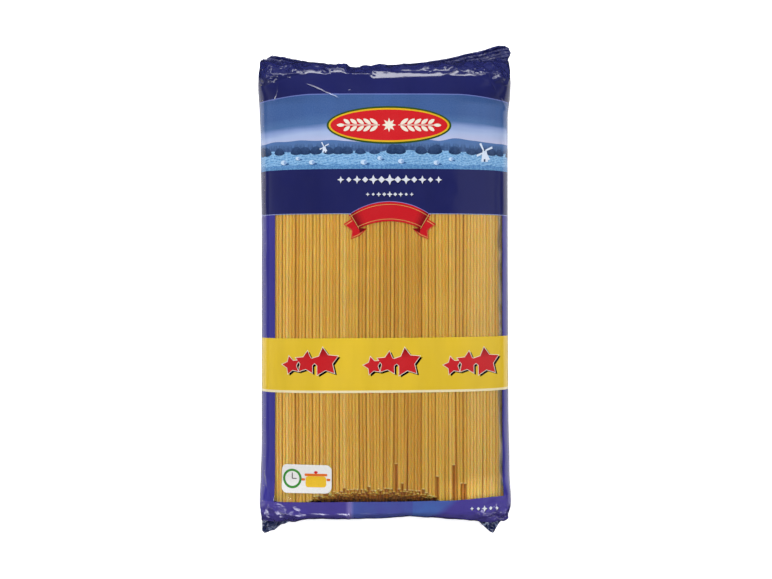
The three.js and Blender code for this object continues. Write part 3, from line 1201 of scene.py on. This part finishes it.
# How loose a fin's edge is, at the top and at the bottom
TOP_LOOSENESS = 1
BOTTOM_LOOSENESS = 3.2
# How far the corners of the fins stand out, at the left and at the right
TOP_EARS = (4.4, 9.8)
BOTTOM_EARS = (9.4, 9.6)
# The buckling of a fin: its scale across and along, and its strength, large and small
BUCKLES = ((0.09, 0.1, 40, 1.0), (0.3, 0.2, 70, 0.35))
BUCKLE_RISE = 1.3
BUCKLE_REACH = 0.4


def top_fin_shows(x):
    """How much of the fin stands out past the weld, before its fold."""
    right = TOP_EARS[1] * into(0, 71, x) ** 1.3
    return right + TOP_EARS[0] * into(20, 66, -x)


def bottom_fin_shows(x):
    right = BOTTOM_EARS[1] * into(50, 67.5, x) ** 1.5 * (1 - into(68, 76.5, x))
    return right + BOTTOM_EARS[0] * into(50, 75, -x)


def fin_path(shows):
    """Places (out, down) and headings of a fin's rows: it hangs from the weld, then stands out."""
    hang = FIN_HEIGHT - shows
    places = [(0.0, 0.0, 0.0)]
    step = (FIN_HEIGHT + FIN_ROOT) / FIN_ROWS
    out = down = 0.0
    for i in range(FIN_ROWS):
        run = i * step - FIN_ROOT
        turned = 1 - smooth(run, hang - FIN_BEND, hang + FIN_BEND)
        heading = math.pi / 2 * turned if run > 0 else 0.0
        out += step * math.cos(heading)
        down += step * math.sin(heading)
        places.append((out, down, heading))
    return places


# X of the fin's ends, as (share of the way from its root to its edge, X)
TOP_LEFT_END = ((0, -75.4), (0.5, -75.0), (0.8, -73.5), (1, -70.5))
TOP_RIGHT_END = ((0, 75.3), (0.25, 75.9), (0.62, 77.6), (0.85, 76.6), (1, 74.0))
BOTTOM_LEFT_END = ((0, -75.6), (0.7, -75.8), (1, -75.0))
BOTTOM_RIGHT_END = ((0, 74.2), (0.5, 74.4), (1, 74.2))


def fin_point(end, x, row, path, ends):
    seal = seal_line(end)
    out, down, heading = path[row]
    run = row / FIN_ROWS * (FIN_HEIGHT + FIN_ROOT) - FIN_ROOT
    reach = along(ends[0 if x < 0 else 1], row / FIN_ROWS) / (FIN_LEFT if x < 0 else FIN_RIGHT)
    x *= mix(1, reach, smooth(abs(x), 50, 75))
    wave = CRIMP_DEPTH * math.sin(run / FIN_HEIGHT * CRIMPS * 2 * math.pi) if run > 0 else 0.0
    loose = smooth(run, 0, 7) * (0.5 + smooth(abs(x), 45, 72))
    loose *= TOP_LOOSENESS if end > 0 else BOTTOM_LOOSENESS
    buckle = 0.0
    for across, down_scale, seed, share in BUCKLES:
        place = Vector((x * across, run * down_scale, seed * end))
        buckle += share * loose * noise.noise(place)
    clear = (FIN_THICKNESS / 2 + CRIMP_DEPTH) * math.sin(heading)
    out += wave * math.sin(heading) + clear - FIN_ROOT
    rise = wave * math.cos(heading) + BUCKLE_RISE * buckle
    y = seal + corner_reach(x, seal) + slack(x, seal) + end * (out + BUCKLE_REACH * buckle)
    return to_frame(x, y, SEAL_LEVEL - down + rise)


def make_fin(name, end, shows, material, ends):
    """A crimped strip across the packet, hanging from the weld and standing out at its corners."""
    fin = unit_grid(FIN_COLUMNS, FIN_ROWS)
    columns = [mix(FIN_LEFT, FIN_RIGHT, i / FIN_COLUMNS) for i in range(FIN_COLUMNS + 1)]
    paths = [fin_path(shows(x)) for x in columns]
    for vertex in fin.data.vertices:
        column = round((vertex.co.x + 0.5) * FIN_COLUMNS)
        row = round((vertex.co.y + 0.5) * FIN_ROWS)
        vertex.co = fin_point(end, columns[column], row, paths[column], ends)
    if end < 0:
        edit(fin, select_all, bpy.ops.mesh.flip_normals)
    thicken(fin, FIN_THICKNESS)
    fin.name = name
    fin.data.materials.append(material)
    shade(fin, 60)
    finish_piece(fin, "printed_film")


TOP_FIN_FILM = fin_film("top_fin_film", NAVY_TOP)
# The bottom fin has the painted crease highlights in full
BOTTOM_FIN_FILM = fin_film("bottom_fin_film", printed(42, 52, 98), 1.0)
make_fin("top_fin", 1, top_fin_shows, TOP_FIN_FILM, (TOP_LEFT_END, TOP_RIGHT_END))
make_fin("bottom_fin", -1, bottom_fin_shows, BOTTOM_FIN_FILM, (BOTTOM_LEFT_END, BOTTOM_RIGHT_END))


# The seam down the back


# Its width, length and middle on the back, its height and its thickness
SEAM_SIZE = (13, 258)
SEAM_MIDDLE = (3, -3)
SEAM_LEVEL = 0.16
SEAM_THICKNESS = 0.12
SEAM_WAVE = 0.5


def make_back_seam():
    seam = unit_grid(8, 60)
    for vertex in seam.data.vertices:
        x, y = (size * c + middle for size, c, middle in zip(SEAM_SIZE, vertex.co, SEAM_MIDDLE))
        wave = SEAM_WAVE * noise.noise(Vector((0, y * 0.05, 5)))
        vertex.co = to_frame(x + wave, y, SEAM_LEVEL)
    thicken(seam, SEAM_THICKNESS)
    seam.name = "back_seam"
    seam.data.materials.append(fin_film("seam_film", VIOLET_SIDE))
    shade(seam)
    finish_piece(seam, "printed_film")


make_back_seam()


# The strands

STRAND_SEED = 23
# Name, sides and lengthwise steps of each kind of strand
STRAND_KINDS = (("fine", 10, 9), ("plain", 7, 6), ("stub", 7, 3))
STRAND_TOP = WINDOW_TOP + 5
LAYERS = 4
STUB_LAYERS = 3
STUB_LENGTH = 16
ROW_STEP = 0.21
# Tone of the rows, from the top one down, darker with depth as painted shade, and how pale their
# broken ends are, fading down the rows as painted shade
ROW_TONES_AND_SHADE = (0.5, 0.31, 0.24, 0.18, 0.14, 0.11, 0.1)
ROW_TIPS = (1.0, 0.55, 0.25, 0.1, 0.04, 0.0, 0.0)
# How much paler the top row is at the right side: a painted reflection of the light on the film over it
RIGHT_SHEEN_PAINT = 0.14
# Strands that stop short, as X and the Y of their end
SHORT_STRANDS = (
    (5.9, -103.0), (31.4, -110.6), (40.7, -104.0),
    (46.2, -115.0), (48.2, -115.2), (11.3, -114.5),
)
# X of the gaps that go down through several rows, and their width
DEEP_GAPS = (
    -61.6, -54.5, -49.2, -45.0, -39.7, -27.8, -15.4, -11.3, -4.7,
    2.4, 4.7, 11.3, 21.3, 24.9, 29, 36.2, 40.9, 45,
)
GAP_WIDTHS = (0.22, 0.5)
# How far the rows run on under the print at the left and the right, and their play
ROW_MARGINS = (2.2, 1.2)
ROW_PLAY = 0.04
BUNDLE_HALF = 73
# The arch of the strands' lower ends: its rise, middle, half-width and roundness
ARCH = (6.6, -6, 41, 2.6)
# The lower ends: how far they reach under the bottom strip, how uneven they are, and their limit
END_UNDER = 1.7
END_SPREAD = 0.8
END_LIMIT = -129.0
SHORT_REACH = 0.98
# The window's lower edge shifts the ends up to here on X
SHIFTED_UNTIL = 30
SHIFT_FADE = 20
ARCH_LIFT = 2.1
# Some strands of the top row end higher: how many, and by how much
HIGH_END_SHARE = 0.08
HIGH_END = (0.8, 2.5)
# Some strands of the top row lean: how many, and how far at their lower end
LEAN_SHARE = 0.1
LEAN = 0.9
SINK = 0.12
# How much the strands of the top row and of the others vary in tone
TONE_SPREAD = (0.07, 0.03)


def strand_template(sides, steps):
    deselect()
    bpy.ops.mesh.primitive_cylinder_add(vertices=sides, radius=0.5, depth=1)
    template = bpy.context.object
    edit(template, select_none)
    bpy.context.tool_settings.mesh_select_mode = (False, True, False)
    for edge in template.data.edges:
        low, high = (template.data.vertices[i].co.z for i in edge.vertices)
        edge.select = abs(high - low) > 0.5
    edit(template, lambda: bpy.ops.mesh.subdivide(number_cuts=steps - 1))
    bpy.context.tool_settings.mesh_select_mode = (True, False, False)
    return template


def row_places(draw, gaps=()):
    """X of each strand of a row, close together but for the gaps."""
    places = []
    x = WINDOW_LEFT - ROW_MARGINS[0]
    ahead = list(gaps)
    while x < WINDOW_RIGHT + ROW_MARGINS[1]:
        places.append(x)
        x += STRAND + draw.uniform(0, ROW_PLAY)
        if ahead and x - STRAND / 2 > ahead[0]:
            ahead.pop(0)
            x += draw.uniform(*GAP_WIDTHS)
    return places


def bundle_height(x):
    """Height that the strands fill the bag to, alike all along them."""
    rise = BODY_THICKNESS - SEAL_LEVEL
    return SEAL_LEVEL + rise * crown(min(abs(x), BUNDLE_HALF) / half_width(x, 0), FRONT_ROUNDNESS)


def end_arch(x):
    """How much shorter the strands are in the middle than at the sides."""
    rise, middle, half, roundness = ARCH
    return rise * max(0.0, 1 - (abs(x - middle) / half) ** roundness)


def strand_end(x, layer, draw):
    """Where a strand ends: the deeper rows step out from under the ones above."""
    step = max(0.0, 1 - ROW_STEP * layer)
    arch_rise = end_arch(x)
    end = WINDOW_BOTTOM - END_UNDER + slack(x, WINDOW_BOTTOM) * smooth(SHIFTED_UNTIL - x, 0, SHIFT_FADE)
    end += (arch_rise + ARCH_LIFT * clamp(arch_rise / 2)) * step
    end += draw.uniform(-END_SPREAD, END_SPREAD)
    if layer == 0 and draw.random() > 1 - HIGH_END_SHARE:
        end += draw.uniform(*HIGH_END)
    if layer == 0:
        for short_x, short_end in SHORT_STRANDS:
            if abs(x - short_x) < SHORT_REACH:
                end = short_end
    return max(end, END_LIMIT + draw.uniform(0, 1.5))


def strand_path(x, layer, sink, lean):
    """Centre of a strand at y, lying under the film and on the strands below it."""

    def centre(y):
        free = smooth(x - WINDOW_LEFT, -2, 10) * smooth(WINDOW_RIGHT - x, -1, 10)
        drift = 0.8 * noise.noise(Vector((x * 0.04, y * 0.008, 0)))
        own = 0.05 * noise.noise(Vector((x * 3.1, y * 0.012, layer * 5.1)))
        place_x = x + own + free * (drift + lean * smooth(-y, 60, 130))
        settle = 0.08 * noise.noise(Vector((x * 1.7, y * 0.02, 31 + layer)))
        fall = bundle_height(place_x - 0.5) - bundle_height(place_x + 0.5)
        depth = (FILM_GAP + STRAND / 2) * math.hypot(1, fall)
        height = bundle_height(place_x) - depth - sink - layer * LAYER_DROP + settle
        return Vector((place_x, y, height))

    return centre


# The broken end of a strand is paler for a moment, partly its own paler break and partly a painted
# highlight: distance from the end and what it adds
TIP = ((0.0, 0.5), (0.45, 0.4), (0.8, 0.0))


def lay_strand(template, steps, centre, low, high, tone, tip):
    """A copy of the template laid along a path from low to high."""
    mesh = template.data.copy()
    runs = [distance for distance, _ in TIP]
    runs += [mix(runs[-1], high - low, i / (steps - 2)) for i in range(1, steps - 1)]
    spots = [centre(low + run) for run in runs]
    tones = []
    for vertex in mesh.vertices:
        ring = round((vertex.co.z + 0.5) * steps)
        spot = spots[ring]
        x, z = spot.x + STRAND_WIDTH * vertex.co.x, spot.z - STRAND * vertex.co.y
        vertex.co = to_frame(x, spot.y, z)
        # Paler broken end, partly a painted highlight
        tones.append(tone + (tip * TIP[ring][1] if ring < len(TIP) else 0))
    attribute = mesh.attributes.new("tone", "FLOAT", "POINT")
    attribute.data.foreach_set("value", tones)
    strand = bpy.data.objects.new("strand", mesh)
    bpy.context.scene.collection.objects.link(strand)
    return strand


def make_strands():
    draw = random.Random(STRAND_SEED)
    kinds = {name: (strand_template(sides, steps), steps) for name, sides, steps in STRAND_KINDS}
    strands = []
    top_row = row_places(draw, DEEP_GAPS)
    between = [(a + b) / 2 for a, b in zip(top_row, top_row[1:])]
    for layer in range(LAYERS + STUB_LAYERS):
        deep = layer >= LAYERS
        template, steps = kinds["stub" if deep else ("fine" if layer < 2 else "plain")]
        for place in row_places(draw) if deep else (between if layer % 2 else top_row):
            sink = draw.uniform(0, SINK)
            leans = layer == 0 and draw.random() > 1 - LEAN_SHARE
            lean = draw.uniform(-LEAN, LEAN) if leans else 0.0
            low = strand_end(place, layer, draw)
            high = low + STUB_LENGTH if deep else STRAND_TOP
            # The deeper rows are darker as painted shade, and the top row is paler at the right as a painted
            # reflection
            tone = ROW_TONES_AND_SHADE[layer] + (RIGHT_SHEEN_PAINT * smooth(place, 15, 60) if layer == 0 else 0)
            tone = clamp(draw.gauss(tone, TONE_SPREAD[min(layer, 1)]))
            path = strand_path(place, layer, sink, lean)
            strands.append(lay_strand(template, steps, path, low, high, tone, ROW_TIPS[layer]))
    for template, _ in kinds.values():
        bpy.data.objects.remove(template)
    bundle = join("strands", strands)
    bundle.data.materials.append(dry_pasta())
    shade(bundle, 50)
    finish_piece(bundle, "dry_pasta", "spaghetti")


CORE_DEPTH = 10.5
CORE_THICKNESS = 7


def make_core():
    """The middle of the bundle, under the rows that are laid strand by strand, painted dark as shade."""
    core = unit_grid(60, 12)
    for vertex in core.data.vertices:
        x = mix(WINDOW_LEFT - 2, WINDOW_RIGHT + 0.8, vertex.co.x + 0.5)
        y = mix(WINDOW_BOTTOM - 1, STRAND_TOP, vertex.co.y + 0.5)
        vertex.co = to_frame(x, y, bundle_height(x) - CORE_DEPTH)
    down = {"value": (0, 0, -CORE_THICKNESS * MM)}
    edit(
        core,
        select_all,
        lambda: bpy.ops.mesh.extrude_region_move(TRANSFORM_OT_translate=down),
        select_all,
        lambda: bpy.ops.mesh.normals_make_consistent(inside=False),
    )
    core.name = "bundle_core"
    core.data.materials.append(shaded_core_pasta())
    shade(core, 40)
    finish_piece(core, "dry_pasta")


make_strands()
make_core()


# The print's shapes, each a thin film of ink that follows the front. A shape is an outline with
# its ink and its level, from 0 up.

INK_LIFT = 0.08
INK_STEP = 0.06
INK_SLICE = 1.6
INK_THICKNESS = 0.03
GRAIN_POINTS = 14
CORNER_POINTS = 6


def placed(points, x, y, turn=0.0):
    """Points turned about the origin and moved to a place."""
    c, s = math.cos(turn), math.sin(turn)
    return [(x + px * c - py * s, y + px * s + py * c) for px, py in points]


def box(left, low, right, high):
    return [(left, low), (right, low), (right, high), (left, high)]


def ellipse(x, y, width, height, count):
    angles = [2 * math.pi * i / count for i in range(count)]
    return [(x + width / 2 * math.cos(a), y + height / 2 * math.sin(a)) for a in angles]


def star(x, y, radius, count, inner, turn=0.0):
    outline = []
    for i in range(2 * count):
        reach = radius if i % 2 == 0 else radius * inner
        angle = math.pi / 2 + turn + math.pi * i / count
        outline.append((x + reach * math.cos(angle), y + reach * math.sin(angle)))
    return outline


def rounded_box(x, y, width, height, radius):
    outline = []
    for quarter, (sx, sy) in enumerate(((1, 1), (-1, 1), (-1, -1), (1, -1))):
        cx, cy = x + sx * (width / 2 - radius), y + sy * (height / 2 - radius)
        for i in range(CORNER_POINTS + 1):
            angle = (quarter + i / CORNER_POINTS) * math.pi / 2
            outline.append((cx + radius * math.cos(angle), cy + radius * math.sin(angle)))
    return outline


def grain(x, y, length, width, turn):
    """A pointed grain of wheat."""
    outline = []
    for px, py in ellipse(0, 0, length, width, GRAIN_POINTS):
        outline.append((px, py * (1 - 0.35 * (2 * px / length) ** 2)))
    return placed(outline, x, y, turn)


def slice_flat(obj, low, high, axis):
    """Cuts a flat shape across, so that it can follow the film."""
    count = int((high - low) / INK_SLICE)
    for i in range(1, count + 1):
        spot = [0, 0, 0]
        normal = [0, 0, 0]
        spot[axis] = low + (high - low) * i / (count + 1)
        normal[axis] = 1
        edit(obj, select_all, lambda: bpy.ops.mesh.bisect(plane_co=spot, plane_no=normal))


def print_shape(outline, material, level):
    """A closed outline, printed on the front as a thin layer of ink."""
    deselect()
    bpy.ops.mesh.primitive_circle_add(vertices=len(outline), radius=1, fill_type="NGON")
    shape = bpy.context.object
    area = sum(a[0] * b[1] - b[0] * a[1] for a, b in zip(outline, outline[1:] + outline[:1]))
    points = outline if area > 0 else outline[::-1]
    for vertex, (x, y) in zip(shape.data.vertices, points):
        vertex.co = (x, y, 0)
    shape.data.update()
    if shape.data.polygons[0].normal.z < 0:
        edit(shape, select_all, bpy.ops.mesh.flip_normals)
    for axis in (0, 1):
        values = [point[axis] for point in points]
        slice_flat(shape, min(values), max(values), axis)
    for vertex in shape.data.vertices:
        x, y, _ = vertex.co
        vertex.co = to_frame(x, y, film_height(x, y) + INK_LIFT + INK_STEP * level)
    thicken(shape, INK_THICKNESS, -1)
    shape.data.materials.append(material)
    return shape


def print_motif(name, shapes):
    motif = join(name, [print_shape(*shape) for shape in shapes])
    shade(motif, 30)
    finish_piece(motif, "printed_film")


RED = ink("red", printed(206, 38, 44))
BLACK = ink("black", printed(28, 22, 24))
CREAM = ink("cream", printed(236, 230, 214))
SILVER = ink("silver", printed(214, 218, 228))
SHADED_RED = printed(112, 20, 26)
# A motif's place on the front, as X and Y
MEDALLION_PLACE = (2.4, 97.6)
LABEL_PLACE = (-46.6, -112.1)
EAR_PAIRS = 5


def wheat_ear(x, y, length, direction, paint, level):
    """Grains in pairs along a level stem."""
    outlines = []
    for i in range(EAR_PAIRS):
        spot = x + direction * length * (i + 0.5) / EAR_PAIRS
        size = mix(5.6, 4.2, i / EAR_PAIRS)
        for side in (-1, 1):
            turn = math.pi / 2 * (1 - direction) + direction * side * 0.62
            outlines.append(grain(spot, y + side * 2.1, size, 2.2, turn))
    outlines.append(grain(x + direction * (length + 1.6), y, 4.6, 2.0, 0))
    outlines.append(box(x - direction * 1.5, y - 0.22, x + direction * length, y + 0.22))
    return [(outline, paint, level) for outline in outlines]


def bale(x, y, size):
    light = ink("bale_light", printed(196, 218, 242))
    shadow = ink("bale_shade", printed(56, 92, 146))
    face = ink("bale_face", printed(136, 170, 214))
    return [
        (ellipse(x + 0.4 * size, y - 0.45 * size, 2.4 * size, 0.6 * size, 14), shadow, 0),
        (ellipse(x, y, 1.7 * size, 1.25 * size, 18), light, 1),
        (ellipse(x + 0.42 * size, y - 0.05 * size, 0.8 * size, size, 16), face, 2),
    ]


# A windmill of height 1 to its roof, as outlines from the foot of its tower
TOWER = ((-0.32, 0), (0.32, 0), (0.2, 1), (-0.2, 1))
ROOF = ((-0.26, 1), (0.26, 1), (0, 1.3))
DOOR = ((-0.08, 0), (0.08, 0), (0.08, 0.25), (-0.08, 0.25))
BLADE = ((0.1, 0.0), (0.85, 0.0), (0.85, 0.2), (0.1, 0.12))
HUB = 0.95
BLADE_TURN = 0.4


def windmill(x, y, size):
    pale = ink("mill_pale", printed(214, 226, 244))
    dark = ink("mill_dark", printed(50, 68, 104))
    shapes = []
    for outline, paint, level in ((TOWER, pale, 0), (ROOF, dark, 1), (DOOR, dark, 1)):
        shapes.append(([(x + px * size, y + py * size) for px, py in outline], paint, level))
    blade = [(size * px, size * py) for px, py in BLADE]
    for i in range(4):
        shapes.append((placed(blade, x, y + HUB * size, BLADE_TURN + i * math.pi / 2), pale, 2))
    return shapes


# X, Y and size
BALES = (
    (-60.5, 76.0, 2.2),
    (-51.8, 78.2, 1.7),
    (-43.4, 75.8, 2.1),
    (-12.5, 75.6, 2.3),
    (-3.0, 78.0, 1.8),
    (9.5, 76.2, 2.1),
    (30.5, 75.4, 2.1),
    (39.2, 77.6, 1.7),
)
WINDMILLS = ((59.5, 76.6, 6.4), (-36.0, 81.5, 3.6))


def make_meadow():
    shapes = []
    for place in BALES:
        shapes += bale(*place)
    for place in WINDMILLS:
        shapes += windmill(*place)
    print_motif("meadow_print", shapes)


def make_medallion():
    x, y = MEDALLION_PLACE
    shapes = [
        (ellipse(x, y, 74, 22.4, 72), ink("leaf_green", printed(58, 84, 38)), 0),
        (ellipse(x, y, 71.6, 20.2, 72), ink("gold", printed(222, 178, 40)), 1),
        (ellipse(x, y, 69.4, 18.2, 72), RED, 2),
        (star(x, y, 4.2, 8, 0.5), CREAM, 3),
    ]
    for direction in (-1, 1):
        shapes += wheat_ear(x + direction * 7, y, 20, direction, CREAM, 3)
    print_motif("medallion_print", shapes)


def ornament_row(x, y, half, size, count):
    """A row of silver stars and lozenges with thin shadows, largest in the middle."""
    shapes = []
    for i in range(-count, count + 1):
        tall = size * (1 - 0.35 * abs(i) / count)
        radius, inner = (tall / 2, 0.42) if i % 2 == 0 else (tall * 0.34, 0.7)
        mark = star(x + half * i / count, y, radius, 4, inner)
        shapes += [(placed(mark, 0.3, -0.35), BLACK, 0), (mark, SILVER, 1)]
    return shapes


def make_ornaments():
    titles = ornament_row(2.8, 65.3, 29, 6.4, 6) + ornament_row(2.8, 56.6, 13, 3.6, 4)
    print_motif("title_ornament", titles)
    print_motif("corner_ornament", ornament_row(59.0, -129.4, 7.5, 3.6, 2))


RIBBON_MIDDLE = 2.8
RIBBON_RADIUS = 41.0
RIBBON_POINTS = 24
# Top and half-width of the ribbon's upper and lower edge
RIBBON_UPPER = (52.2, 24.2)
RIBBON_LOWER = (40.6, 18.9)
# Its left tail and the fold over it, from the ribbon's middle
RIBBON_TAIL = (
    (-21.6, 42.6), (-27.4, 39.0), (-22.5, 35.2), (-22.9, 30.0),
    (-17.6, 32.2), (-13.4, 36.4), (-18.5, 36.6),
)
RIBBON_FOLD = ((-18.2, 36.7), (-14.0, 36.3), (-17.6, 33.6))
# The shading towards its ends: from and to, as shares of its half-width, and the colour
RIBBON_SHADES = (
    ((0.02, 0.07), SHADED_RED),
    ((0.07, 0.12), printed(134, 24, 30)),
    ((0.12, 0.17), printed(154, 27, 34)),
    ((0.17, 0.22), printed(172, 29, 37)),
    ((0.22, 0.28), printed(186, 31, 39)),
)
RIBBON_BAR = (0.03, 0.045)
# The gold lines along it: how far they are from the edge, and their width
LINE_INSET = (1.4, -1.5)
LINE_WIDTH = 0.3


def ribbon_point(edge, across):
    """A point of one of the ribbon's edges, at -1 to 1 across."""
    top, half = edge
    away = half * across
    return RIBBON_MIDDLE + away, top - RIBBON_RADIUS + math.sqrt(RIBBON_RADIUS**2 - away**2)


def ribbon_edge(edge):
    return [ribbon_point(edge, mix(-1, 1, i / RIBBON_POINTS)) for i in range(RIBBON_POINTS + 1)]


def ribbon_bar(side, shares):
    """A bar across the ribbon, between two shares of its half-width from its end."""
    first, last = shares
    places = ((RIBBON_UPPER, first), (RIBBON_UPPER, last), (RIBBON_LOWER, last), (RIBBON_LOWER, first))
    return [ribbon_point(edge, side * (1 - share)) for edge, share in places]


def band_between(upper, lower):
    return upper + lower[::-1]


def lowered(points, drop):
    return [(x, y - drop) for x, y in points]


def shrunk(outline, share):
    """An outline drawn in towards its own middle."""
    middle_x = sum(x for x, _ in outline) / len(outline)
    middle_y = sum(y for _, y in outline) / len(outline)
    return [(mix(middle_x, x, share), mix(middle_y, y, share)) for x, y in outline]


def ribbon_tail(side, red, dark, gold):
    tail = [(side * x + RIBBON_MIDDLE, y) for x, y in RIBBON_TAIL]
    fold = [(side * x + RIBBON_MIDDLE, y) for x, y in RIBBON_FOLD]
    return [(tail, red, 0), (shrunk(tail, 0.87), gold, 1), (shrunk(tail, 0.79), red, 2), (fold, dark, 3)]


def make_ribbon():
    upper, lower = ribbon_edge(RIBBON_UPPER), ribbon_edge(RIBBON_LOWER)
    red = ink("ribbon_red", printed(196, 32, 40))
    dark = ink("ribbon_shade", SHADED_RED)
    gold = ink("ribbon_gold", printed(214, 160, 92))
    pale = ink("ribbon_edge", printed(120, 128, 196))
    shapes = ribbon_tail(-1, red, dark, gold) + ribbon_tail(1, red, dark, gold)
    shapes.append((band_between(lowered(upper, -0.35), lower), pale, 3))
    shapes.append((band_between(upper, lower), red, 4))
    for number, (shares, paint) in enumerate(RIBBON_SHADES):
        shade_ink = ink("ribbon_shade_%d" % number, paint)
        shapes += [(ribbon_bar(side, shares), shade_ink, 5) for side in (-1, 1)]
    shapes += [(ribbon_bar(side, RIBBON_BAR), gold, 6) for side in (-1, 1)]
    for edge, inset in zip((upper, lower), LINE_INSET):
        line = band_between(lowered(edge, inset), lowered(edge, inset + LINE_WIDTH))
        shapes.append((line, gold, 6))
    print_motif("ribbon_print", shapes)


# X of the three groups of stars, their Y, and each star of a group: X, Y, radius and turn
BURST_PLACES = (-45.3, 3.3, 50.7)
BURST_LEVEL = -43.2
BURST_STARS = ((-10.6, -1.6, 5.9, 0.25), (-1.4, 0.0, 7.4, -0.1), (9.4, 0.4, 9.2, 0.12))
BURST_INNER = 0.54


def make_bursts():
    """Three groups of stars on the band, each star with a black shadow and a pale edge."""
    red = ink("band_red", printed(198, 38, 44), SHADED_RED, (BURST_LEVEL + 3, BURST_LEVEL + 10))
    for number, middle in enumerate(BURST_PLACES):
        shapes = []
        for offset, rise, radius, turn in BURST_STARS:
            x, y = middle + offset, BURST_LEVEL + rise
            shapes.append((star(x + 1.2, y - 0.9, radius, 5, BURST_INNER, turn), BLACK, 0))
            shapes.append((star(x, y, radius + 0.25, 5, BURST_INNER, turn), CREAM, 1))
            shapes.append((star(x, y, radius - 0.35, 5, BURST_INNER, turn), red, 2))
        print_motif("band_stars_%d" % (number + 1), shapes)


def make_label():
    """A white label with a clock and a pot."""
    x, y = LABEL_PLACE
    clock_x, pot_x = x - 8.6, x + 5.6
    white = ink("white", printed(232, 231, 229))
    green = ink("green", printed(70, 142, 62))
    orange = ink("orange", printed(222, 110, 44))
    yellow = ink("pot_yellow", printed(232, 188, 50))
    shapes = [
        (rounded_box(x, y, 30, 16.6, 3.4), white, 0),
        (ellipse(clock_x, y, 11.4, 11.4, 40), green, 1),
        (ellipse(clock_x, y, 8.6, 8.6, 36), white, 2),
        (box(clock_x - 0.25, y, clock_x + 0.25, y + 3.4), BLACK, 3),
        (box(clock_x, y - 0.25, clock_x + 2.6, y + 0.25), BLACK, 3),
        (rounded_box(pot_x, y - 1.6, 12.4, 6.4, 1.6), yellow, 1),
        (rounded_box(pot_x, y + 2.4, 13.6, 1.5, 0.6), orange, 1),
        (ellipse(pot_x, y + 3.9, 2.2, 1.6, 16), RED, 1),
        (rounded_box(pot_x - 7.6, y - 0.4, 2.2, 1.4, 0.5), orange, 1),
        (rounded_box(pot_x + 7.5, y - 0.4, 2.2, 1.4, 0.5), orange, 1),
    ]
    print_motif("label_print", shapes)


make_meadow()
make_medallion()
make_ornaments()
make_ribbon()
make_bursts()
make_label()


# The studio: a pale floor, soft light all round without glare, and softboxes that the gloss mirrors

# Name, place, target, width, length, watts, mirrored in the gloss, and lighting the colours
LIGHTS = (
    ("overhead", (0, 0, 2.2), (0, 0, 0), 1.6, 1.8, 24, False, True),
    ("left_light", (-1.3, 0.1, 1.2), (0, 0, 0.03), 1.0, 1.6, 7.8, False, True),
    ("right_light", (1.3, 0.1, 1.2), (0, 0, 0.03), 1.0, 1.6, 7.8, False, True),
    ("top_softbox", (-0.1, 0.95, 0.95), (0, 0.05, 0.03), 1.4, 0.35, 14, True, True),
    ("right_softbox", (0.95, 0.12, 0.95), (0.04, 0, 0.03), 0.7, 1.1, 0.6, True, False),
    ("left_card", (-0.146, -0.286, 0.225), (-0.06, -0.131, 0.048), 0.2, 0.15, 1.1, True, False),
    ("right_card", (0.175, -0.235, 0.078), (0.07, -0.1325, 0.046), 0.06, 0.05, 0.06, True, False),
    ("left_glow", (-0.15, 0, 0.001), (-0.15, 0, 1), 0.12, 0.27, 0.08, True, True),
    ("right_glow", (0.15, 0, 0.001), (0.15, 0, 1), 0.12, 0.27, 0.08, True, True),
)
# The world's light by height: dim overhead, where the camera is, and brighter near the horizon
WORLD_TOP = (0.02, 0.02, 0.022, 1)
WORLD_GLOW = (
    (0.0, WORLD_TOP),
    (0.03, WORLD_TOP),
    (0.1, (0.35, 0.36, 0.4, 1)),
    (0.4, (0.1, 0.1, 0.115, 1)),
    (0.8, WORLD_TOP),
)
FLOOR_SIZE = 6
PAPER = ((0.92, 0.92, 0.92, 1), (0.9, 0.9, 0.9, 1))


def add_light(name, place, target, width, length, power, glare, fill):
    bpy.ops.object.light_add(type="AREA", location=place)
    light = bpy.context.object
    light.name = name
    light.data.shape = "RECTANGLE"
    light.data.size = width
    light.data.size_y = length
    light.data.energy = power
    light.visible_glossy = glare
    light.visible_diffuse = fill
    light.visible_camera = False
    direction = Vector(target) - Vector(place)
    light.rotation_euler = direction.to_track_quat("-Z", "Y").to_euler()


def make_floor():
    deselect()
    bpy.ops.mesh.primitive_plane_add(size=FLOOR_SIZE)
    floor = bpy.context.object
    floor.name = "floor"
    floor.visible_glossy = False
    material, shader, surface = new_material("floor_paper")
    fibres = shader.remap(shader.noise(shader.object_place(), 40), 0.3, 0.7, 0, 0.02)
    inputs = {
        "Base Color": shader.blend(fibres, *PAPER),
        "Roughness": 0.9,
        "Emission Color": (1, 1, 1, 1),
        "Emission Strength": 0.5,
    }
    shader.fill(surface, inputs)
    floor.data.materials.append(material)


def make_world():
    world = bpy.data.worlds.new("studio")
    world.use_nodes = True
    bpy.context.scene.world = world
    shader = Shader(world.node_tree)
    height = shader.parts(shader.add("ShaderNodeTexCoord").outputs["Generated"])[2]
    glow = shader.ramp(height, WORLD_GLOW)
    shader.fill(world.node_tree.nodes["Background"], {"Color": glow, "Strength": 1.0})


make_floor()
make_world()
for light_row in LIGHTS:
    add_light(*light_row)

bpy.context.scene.view_settings.view_transform = "Standard"
